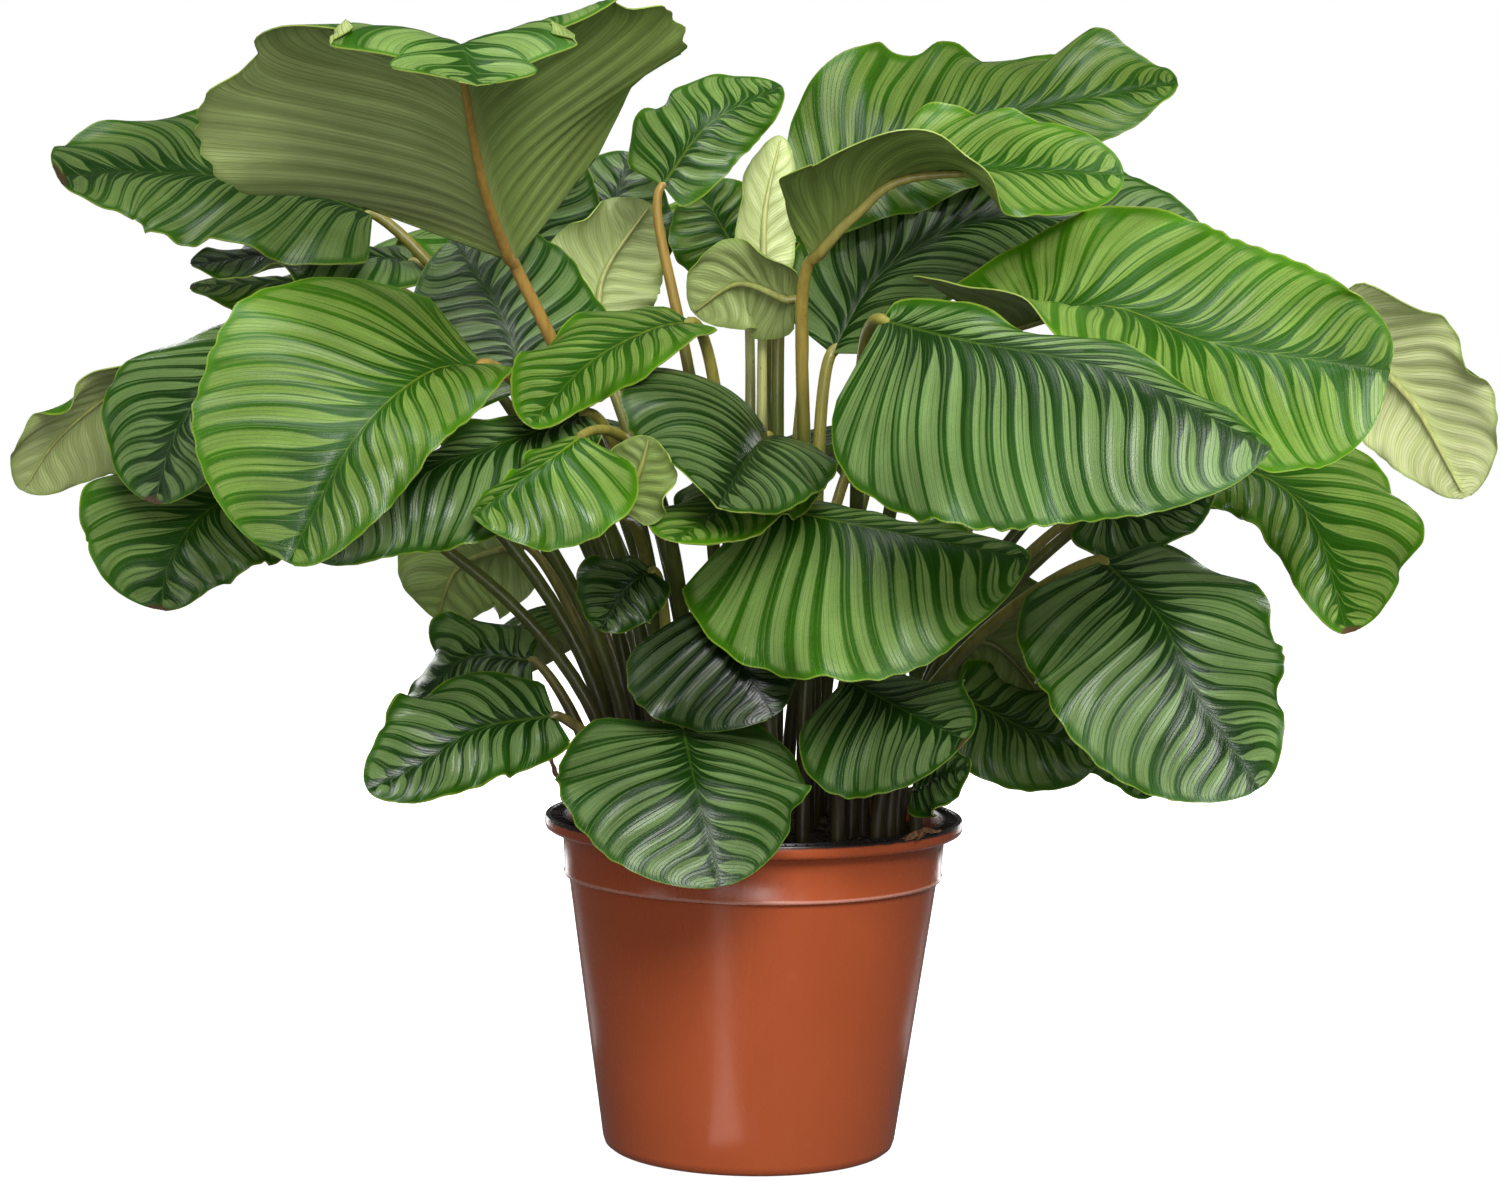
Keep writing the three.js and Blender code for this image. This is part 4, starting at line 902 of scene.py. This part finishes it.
def blade(leaf, rib):
    """A grid laid along the veins, pleated, waved at its edge, and given its thickness."""
    name, seed = leaf["name"], leaf["phase"]
    rows = int(44 + 50 * min(1, rib["length"] / LONG_BLADE))
    columns = 2 * int(10 + 8 * min(1, sum(leaf["halves"]) * MM / WIDE_BLADE))
    piece, flat = add_grid(name + "_blade", rows, columns)
    mesh = piece.data
    t, u = np.clip(flat[:, 0] + 0.5, 0, 1), np.clip(-2 * flat[:, 1], -1, 1)
    left, out = u < 0, np.abs(u)
    s = np.clip(along_vein(vein_start(t), out), 0, 1)
    half, width = half_width(leaf, s, u)
    reach = np.clip(width / half, 0, 1)

    # The bands are counted along the rib, wander a little, and don't meet those of the other half.
    wander = soft_noise(np.stack([t * 5, u * 1.2, t * 0], -1), 1.0, seed * 3.1)
    count = round(4 + rib["length"] / BAND_SPACING)
    band = count * t + np.where(left, 0.0, 0.45) + 0.35 * wander + seed
    frill = along_bands(band, left, 0.55, seed * 5.3)
    sway = along_bands(band, left, 0.22, seed * 2.9)
    move_to(mesh, blade_places(rib, leaf, s, u * (1 - drawn_in(leaf, s, out, band, frill))))

    # The relief is measured square to the smooth blade.
    pleat = PLEAT if leaf["left"][0] > STEEP_FOLD else SHALLOW_PLEAT
    pleat = pleat * np.cos(2 * np.pi * band) * np.sin(np.pi * out ** 0.7) * reach
    gutter = -GUTTER_DEPTH * np.exp(-(out * width / GUTTER_WIDTH) ** 2) * reach
    rich = RUFFLED.get(name, 0.6 + 0.12 * leaf["wave"][0])
    ruffle = rich * (FRILL_HEIGHT * frill * out ** 5 + SWAY_HEIGHT * sway * out ** 3)
    ruffle = ruffle * np.sin(np.pi * s) ** 0.6 * reach
    swell = SWELL_HEIGHT * soft_noise(places_of(mesh), 11, seed) * out * reach
    relief = (pleat + gutter + ruffle + swell)[:, None]
    move_to(mesh, places_of(mesh) + normals_of(mesh) * relief)

    store_looks(leaf, mesh, left, out, width, band)
    for finish in (leaf_upper, leaf_under, leaf_edge):
        mesh.materials.append(finish)
    thicken(piece, BLADE_THICKNESS, offset=0, under=1, rim=2)
    bpy.ops.object.shade_smooth_by_angle(angle=math.radians(50))
    return piece


print("blades are ready to be modelled")

# %% [markdown]
# ## Stalks and midribs
# Stalk and midrib are one tapering rod: out of the soil, over in one bend to the blade, and on under the
# blade to its tip. A rod could be a bevelled curve, but a grid that is rolled into a tube carries its own
# numbers and can be thickened and flattened anywhere.

# %% The path of a stalk
SOIL_TOP, STALK_RISE, STALK_DEPTH = 204 * MM, 10 * MM, 30 * MM
FOOT_RADIUS, TOP_RADIUS, TIP_RADIUS = 4.9 * MM, 3.8 * MM, 0.5 * MM
LIFT, STALK_TURN = 0.45, 0.07
STALK_STEPS, RIB_STEPS = 25, 26
STALK_SIDES = 12


def stalk_path(leaf, rib):
    """Points from the soil to the blade's tip, with the radius and the distance below the blade at each."""
    x, y = (v * MM for v in leaf["root"])
    mouth, base = np.array([x, y, SOIL_TOP + STALK_RISE]), rib["place"][0]
    foot = np.array([[x, y, SOIL_TOP - STALK_DEPTH], [x, y, SOIL_TOP - STALK_DEPTH / 3]])
    reach = np.linalg.norm(mouth - base)
    rise = np.array([x, y, mouth[2] + leaf.get("lift", LIFT) * reach])
    turn = base - rib["along"][0] * STALK_TURN * reach
    t = np.linspace(0, 1, STALK_STEPS)
    w = t[:, None]
    petiole = (1 - w) ** 3 * mouth + 3 * (1 - w) ** 2 * w * rise + 3 * (1 - w) * w ** 2 * turn + w ** 3 * base

    # Under a blade that hangs, its midrib is thinner, and small leaves have slimmer stalks.
    s = np.linspace(0.03, 0.965, RIB_STEPS)
    place, along, up, side = frames_at(rib, leaf, s)
    droop = min(leaf["left"][0], leaf["left"][1], leaf["right"][0], leaf["right"][1], 0)
    rib_radius = TOP_RADIUS * max(0.4, 0.9 + droop / 80) * (1 - s) ** 0.8 + TIP_RADIUS
    under = place - up * (rib_radius + 0.9 * MM)[:, None]
    slim = np.clip(0.42 + rib["length"] / 0.40, 0.70, 1.0)
    petiole_radius = FOOT_RADIUS + (TOP_RADIUS * slim - FOOT_RADIUS) * t

    points = np.vstack([foot, petiole, under])
    radii = np.concatenate([[FOOT_RADIUS, FOOT_RADIUS], petiole_radius, rib_radius * slim])
    steps = np.linalg.norm(np.diff(points, axis=0), axis=1)
    run = np.concatenate([[0], np.cumsum(steps)])
    return points, radii, run[len(foot) + STALK_STEPS - 1] - run


print("a stalk has", 2 + STALK_STEPS + RIB_STEPS, "rings of", STALK_SIDES, "points")

# %% Modelling a stalk
def stalk(leaf, rib):
    """A grid rolled round the path of the stalk and closed at both ends."""
    points, radii, below = stalk_path(leaf, rib)
    piece, flat = add_grid(leaf["name"] + "_stalk", len(points) - 1, STALK_SIDES)
    station = np.rint((flat[:, 0] + 0.5) * (len(points) - 1)).astype(int)
    angle = 2 * np.pi * (flat[:, 1] + 0.5)
    along = unit(np.gradient(points, axis=0))
    side = np.zeros_like(points)
    side[0] = unit(np.cross(along[0], (0.3, 0.9, 0.1)))
    for i in range(1, len(points)):
        side[i] = square_to(along[i], side[i - 1])
    other = np.cross(along, side)
    ring = side[station] * np.cos(angle)[:, None] + other[station] * np.sin(angle)[:, None]
    move_to(piece.data, points[station] + ring * radii[station][:, None])
    set_numbers(piece.data, "below", below[station] / MM)
    set_numbers(piece.data, "pale", PALE.get(leaf["name"], 0.0))
    set_numbers(piece.data, "golden", GOLDEN.get(leaf["name"], USUAL_GOLD))
    bpy.ops.object.mode_set(mode="EDIT")
    bpy.ops.mesh.select_all(action="SELECT")
    bpy.ops.mesh.remove_doubles(threshold=0.01 * MM)
    bpy.ops.mesh.select_all(action="DESELECT")
    bpy.ops.mesh.select_non_manifold()
    bpy.ops.mesh.fill()
    bpy.ops.mesh.select_all(action="SELECT")
    bpy.ops.mesh.normals_make_consistent(inside=False)
    bpy.ops.object.mode_set(mode="OBJECT")
    piece.data.materials.append(stalk_finish)
    bpy.ops.object.shade_smooth_by_angle(angle=math.radians(50))
    return piece


print("stalks are ready to be modelled")

# %% Modelling all the leaves
faces = 0
for leaf in LEAVES:
    rib = midrib(leaf)
    for piece in (blade(leaf, rib), stalk(leaf, rib)):
        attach(piece, "root")
        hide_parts(leaf["name"])
        faces += len(piece.data.polygons)
print(2 * len(LEAVES), "pieces with", faces, "faces")

# %% [markdown]
# ## The pot
# A thin-walled nursery pot is moulded round: a rolled lip with small radial ribs on top, a straight band, a
# fine raised ring where the band ends, and a wall that tapers to a rounded foot. Its half section is drawn
# once and spun round the axis, as it would be turned. A tapered cylinder could be cut and extruded instead,
# but the rolled lip is easier to draw. The plastic is dusty. The top of the lip is painted near black as a
# painted reflection of the dark leaves over it, and a pale line along the ring is a painted highlight.

# %% The finish of the pot
RIM, HEIGHT, BAND, RIDGE, BAND_FOOT, BASE, WALL = (v * MM for v in (135, 217, 124, 121, 179, 95, 2.4))
RING_HEIGHT = BAND_FOOT + 0.5 * MM


def pot_plastic():
    finish = Finish("pot_plastic", 0.24)
    cloud = finish.grain(finish.place(), 7, 2)
    colour = finish.blend(finish.rise(cloud, 0.3, 0.7), (0.375, 0.074, 0.022), (0.412, 0.085, 0.027))
    rings = finish.grain(finish.place((0.02, 0.02, 1)), 1100, 2)
    dust = finish.grain(finish.place((1, 1, 0.35)), 120, 4)
    colour = finish.blend(finish.rise(dust, 0.6, 0.85, 0.0, 0.14), colour, (0.36, 0.17, 0.11))
    height = finish.height()
    # The top of the lip is painted near black: a painted reflection of the dark leaves over it, ragged by the
    # dust.
    dark_lip_reflection = finish.math("MULTIPLY_ADD", dust, 1.6 * MM, height)
    dark_lip_reflection = finish.rise(dark_lip_reflection, HEIGHT - 2.2 * MM, HEIGHT - 0.4 * MM)
    colour = finish.blend(dark_lip_reflection, colour, (0.012, 0.009, 0.009))
    # A pale line along the ring is a painted highlight on its rounded step.
    from_ring = finish.math("ABSOLUTE", finish.math("SUBTRACT", height, RING_HEIGHT))
    ring_highlight = finish.rise(from_ring, 0.5 * MM, 1.3 * MM, 0.45, 0.0)
    colour = finish.blend(ring_highlight, colour, (0.66, 0.40, 0.34))
    finish.shader.inputs["Specular IOR Level"].default_value = 0.4
    finish.bump(rings, 0.0002, 0.12)
    return finish.paint(colour, finish.rise(dust, 0.3, 0.75, 0.24, 0.32))


pot_finish = pot_plastic()
print("pot:", pot_finish.name)

# %% A helper that spins a section
def select_only(pieces):
    """Selects the pieces and nothing else, with the first one active."""
    bpy.ops.object.select_all(action="DESELECT")
    for piece in pieces:
        piece.select_set(True)
    bpy.context.view_layer.objects.active = pieces[0]


def spin_section(name, section, steps):
    """A closed half section of [radius, height] pairs, spun once round the upright axis."""
    mesh = bpy.data.meshes.new(name)
    count = len(section)
    mesh.from_pydata([(r, 0, z) for r, z in section], [(i, (i + 1) % count) for i in range(count)], [])
    piece = bpy.data.objects.new(name, mesh)
    bpy.context.scene.collection.objects.link(piece)
    select_only([piece])
    bpy.ops.object.mode_set(mode="EDIT")
    bpy.ops.mesh.select_all(action="SELECT")
    bpy.ops.mesh.spin(steps=steps, angle=2 * math.pi, center=(0, 0, 0), axis=(0, 0, 1))
    bpy.ops.mesh.select_all(action="SELECT")
    bpy.ops.mesh.remove_doubles(threshold=0.01 * MM)
    bpy.ops.mesh.normals_make_consistent(inside=False)
    bpy.ops.object.mode_set(mode="OBJECT")
    bpy.ops.object.shade_smooth_by_angle(angle=math.radians(40))
    return piece


print("sections can be spun")

# %% Spinning the pot
POT_STEPS = 160
DRAIN_HOLES, DRAIN_CIRCLE, DRAIN_RADIUS = 8, 62 * MM, 6 * MM

outside = [
    (0, 0), (BASE - 9 * MM, 0), (BASE - 4 * MM, 0.8 * MM), (BASE - 1.4 * MM, 2.8 * MM), (BASE, 7 * MM),
    (RIDGE - 1.8 * MM, BAND_FOOT - 1.4 * MM), (RIDGE + 0.6 * MM, BAND_FOOT - 1.1 * MM),
    (RIDGE + 1.5 * MM, BAND_FOOT - 0.4 * MM), (RIDGE + 1.7 * MM, BAND_FOOT + 0.4 * MM),
    (RIDGE + 1.2 * MM, BAND_FOOT + 1.1 * MM), (RIDGE + 0.8 * MM, BAND_FOOT + 1.8 * MM),
    (BAND - 0.6 * MM, HEIGHT - 13 * MM),
]
lip = [
    (BAND + 0.2 * MM, HEIGHT - 10.6 * MM), (RIM - 2.2 * MM, HEIGHT - 9 * MM),
    (RIM - 0.7 * MM, HEIGHT - 8 * MM), (RIM, HEIGHT - 6.2 * MM),
    (RIM, HEIGHT - 1.8 * MM), (RIM - 0.5 * MM, HEIGHT - 0.5 * MM),
    (RIM - 1.7 * MM, HEIGHT), (RIM - 3.2 * MM, HEIGHT - 0.2 * MM), (RIM - 3.8 * MM, HEIGHT - 1.6 * MM),
    (BAND - 0.2 * MM, HEIGHT - 1.6 * MM), (BAND - 0.6 * MM, HEIGHT - 0.2 * MM), (BAND - 1.8 * MM, HEIGHT),
]
inside = [
    (BAND - WALL, HEIGHT - 0.8 * MM), (BAND - WALL - 1 * MM, BAND_FOOT + 2 * MM),
    (RIDGE - WALL, BAND_FOOT - 1 * MM), (BASE - WALL, 7 * MM), (BASE - 7 * MM, WALL), (0, WALL),
]
pot = spin_section("nursery_pot", outside + lip + inside, POT_STEPS)
for i in range(DRAIN_HOLES):
    turn = 2 * math.pi * (i + 0.5) / DRAIN_HOLES
    middle = (DRAIN_CIRCLE * math.cos(turn), DRAIN_CIRCLE * math.sin(turn), 0)
    bpy.ops.object.select_all(action="DESELECT")
    bpy.ops.mesh.primitive_cylinder_add(vertices=24, radius=DRAIN_RADIUS, depth=20 * MM, location=middle)
    drill = bpy.context.object
    cut = pot.modifiers.new("drain_hole", "BOOLEAN")
    cut.object = drill
    cut.solver = "EXACT"
    bpy.context.view_layer.objects.active = pot
    bpy.ops.object.modifier_apply(modifier=cut.name)
    bpy.data.objects.remove(drill)
pot.data.materials.append(pot_finish)
select_only([pot])
bpy.ops.object.shade_smooth_by_angle(angle=math.radians(40))
print("pot:", len(pot.data.polygons), "faces")

# %% [markdown]
# ## Ribs on the lip
# The top of the lip is a shallow channel, crossed by small radial ribs that stiffen it. One rib is modelled
# as a bevelled bar and copied round. An Array modifier could repeat it too, but would need an empty to turn
# about.

# %% Helpers for repeated shapes
def copy_of(piece, move):
    """A copy with its own mesh, moved."""
    copy = piece.copy()
    copy.data = piece.data.copy()
    bpy.context.scene.collection.objects.link(copy)
    copy.data.transform(move)
    return copy


def join_all(pieces, name, finish):
    """All the pieces as one, under a new name."""
    select_only(pieces)
    bpy.ops.object.join()
    pieces[0].name = name
    pieces[0].data.materials.append(finish)
    return pieces[0]


print("shapes can be repeated")

# %% The small ribs on top of the lip
LIP_RIBS = 120


def lip_ribs():
    """One rib, copied round the channel of the lip."""
    bpy.ops.object.select_all(action="DESELECT")
    bpy.ops.mesh.primitive_cube_add(size=1)
    rib = bpy.context.object
    rib.scale = (9.6 * MM, 1.1 * MM, 1.5 * MM)
    rib.location = (BAND + 3.6 * MM, 0, HEIGHT - 1.25 * MM)
    bpy.ops.object.transform_apply(location=True, rotation=False, scale=True)
    bpy.ops.object.mode_set(mode="EDIT")
    bpy.ops.mesh.select_all(action="SELECT")
    bpy.ops.mesh.bevel(offset=0.3 * MM, segments=1)
    bpy.ops.object.mode_set(mode="OBJECT")
    turns = [2 * math.pi * i / LIP_RIBS for i in range(1, LIP_RIBS)]
    ribs = [rib] + [copy_of(rib, Matrix.Rotation(turn, 4, "Z")) for turn in turns]
    return join_all(ribs, "lip_ribs", pot_finish)


ribs = lip_ribs()
for piece in (pot, ribs):
    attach(piece, "root")
    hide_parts("pot")
print("lip ribs:", len(ribs.data.polygons), "faces")

# %% [markdown]
# ## The potting soil
# The pot is filled to just under its lip with dark peat, a little higher in the middle. A smooth disc would
# look like felt, so the top of the filling is roughened by noise, and crumbs lie on it.

# %% The finish of the soil
def peat():
    finish = Finish("peat", 0.92)
    lumps = finish.grain(finish.place(), 190, 5, 0.65)
    colour = finish.blend(finish.rise(lumps, 0.35, 0.7), (0.008, 0.005, 0.003), (0.060, 0.034, 0.018))
    finish.bump(lumps, 0.002, 0.8)
    return finish.paint(colour)


peat_finish = peat()
print("soil:", peat_finish.name)

# %% Filling the pot
SOIL_RADIUS = BAND - WALL - 1.3 * MM
SOIL_CROWN = 5 * MM
SOIL_RINGS, SOIL_STEPS = 30, 144
LUMP_HEIGHT, GRAIN_HEIGHT = 4 * MM, 2.2 * MM

shares = [k / SOIL_RINGS for k in range(SOIL_RINGS)]
top = [(SOIL_RADIUS * (1 - share), SOIL_TOP + SOIL_CROWN * share) for share in shares]
bottom = [(0, 3 * MM), (BASE - 9 * MM, 3 * MM), (BASE - 3 * MM, 8 * MM), (RIDGE - 3 * MM, BAND_FOOT - 1 * MM),
          (SOIL_RADIUS, BAND_FOOT + 3 * MM)]
soil = spin_section("potting_soil", bottom + top + [(0, SOIL_TOP + SOIL_CROWN)], SOIL_STEPS)
places = places_of(soil.data)
upper = places[:, 2] > SOIL_TOP - 0.1 * MM
rough = LUMP_HEIGHT * soft_noise(places[upper], 55, 4.0) + GRAIN_HEIGHT * soft_noise(places[upper], 190, 9.0)
from_wall = SOIL_RADIUS - np.hypot(places[upper, 0], places[upper, 1])
places[upper, 2] += rough * np.clip(from_wall / (6 * MM), 0.15, 1)
move_to(soil.data, places)
soil.data.materials.append(peat_finish)
print("soil:", len(soil.data.polygons), "faces")

# %% Strewing crumbs
def crumbs(seed, count):
    """One crumb, copied over the soil at many sizes and turns."""
    bpy.ops.object.select_all(action="DESELECT")
    bpy.ops.mesh.primitive_ico_sphere_add(subdivisions=1, radius=1 * MM)
    crumb = bpy.context.object
    rng = np.random.default_rng(seed)
    body = places_of(crumb.data)
    move_to(crumb.data, body * rng.uniform(0.75, 1.2, (len(body), 1)))
    pieces = []
    for i in range(count):
        distance, turn = SOIL_RADIUS * 0.97 * math.sqrt(rng.uniform()), rng.uniform(0, 2 * math.pi)
        size = rng.uniform(0.8, 2.6)
        stretch = Matrix.Diagonal((size * rng.uniform(1, 3.2), size, size * rng.uniform(0.5, 1), 1))
        spin = Matrix.Rotation(rng.uniform(0, 6.28), 4, "Z") @ Matrix.Rotation(rng.uniform(-0.5, 0.5), 4, "X")
        lift = SOIL_TOP + SOIL_CROWN * (1 - distance / SOIL_RADIUS) + 1 * MM
        place = Matrix.Translation((distance * math.cos(turn), distance * math.sin(turn), lift))
        pieces.append(copy_of(crumb, place @ spin @ stretch))
    bpy.data.objects.remove(crumb)
    return join_all(pieces, "soil_crumbs", peat_finish)


litter = crumbs(seed=5, count=500)
for piece in (soil, litter):
    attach(piece, "root")
    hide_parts("soil")
print("crumbs:", len(litter.data.polygons), "faces")

# %% [markdown]
# ## Dry sheaths
# A few old sheaths have dried to brown strips: one stands up beside the front leaf, and two lie over the
# rim on the right. Each is a grid laid along a smooth curve, hollowed along its middle, narrowed to its tip
# and given the thickness of paper. A cloth simulation could crumple it, but noise does that as well for
# such small strips.

# %% The finish of the dry sheaths
def dry_skin():
    finish = Finish("dry_sheath", 0.6)
    fibres = finish.grain(finish.place((1, 1, 0.3)), 420, 4)
    colour = finish.blend(finish.rise(fibres, 0.3, 0.7), (0.060, 0.026, 0.012), (0.260, 0.120, 0.055))
    finish.bump(fibres, 0.0008, 0.8)
    return finish.paint(colour)


dry_finish = dry_skin()
print("dry sheaths:", dry_finish.name)

# %% Laying the dry sheaths
SHEATHS = [
    ("dry_sheath_left", [(-113, -10, 203), (-120, -14, 228), (-130, -18, 246), (-134, -20, 263)], 7.0, 0.8),
    ("dry_sheath_rim_a", [(72, -98, 208), (90, -95, 216), (104, -84, 221), (117, -74, 219)], 6.0, -0.7),
    ("dry_sheath_rim_b", [(96, -66, 207), (104, -74, 217), (106, -86, 220), (101, -97, 216)], 4.5, 0.9),
]
SHEATH_THICKNESS = 0.5 * MM
CRUMPLE = 1.6 * MM


def dry_sheath(name, path, width, hollow):
    """A strip along a path in millimetres, with its width there and how deep it is hollowed."""
    piece, flat = add_grid(name, 28, 6)
    t, v = flat[:, 0] + 0.5, 2 * flat[:, 1]
    place, along = curve_through(np.array(path, float) * MM, t)
    along = unit(along)
    side = unit(np.cross(along, (0.5, 0.3, 0.8)))
    up = np.cross(side, along)
    half = width / 2 * MM * (1 - t ** 3) ** 0.7 + 0.2 * MM
    crumple = soft_noise(place + side * v[:, None] * 4 * MM, 170, width) * CRUMPLE
    height = hollow * half * v * v + crumple
    move_to(piece.data, place + side * (half * v)[:, None] + up * height[:, None])
    thicken(piece, SHEATH_THICKNESS)
    piece.data.materials.append(dry_finish)
    bpy.ops.object.shade_smooth_by_angle(angle=math.radians(60))
    return piece


for name, path, width, hollow in SHEATHS:
    strip = dry_sheath(name, path, width, hollow)
    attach(strip, "root")
    print(name, len(strip.data.polygons), "faces")
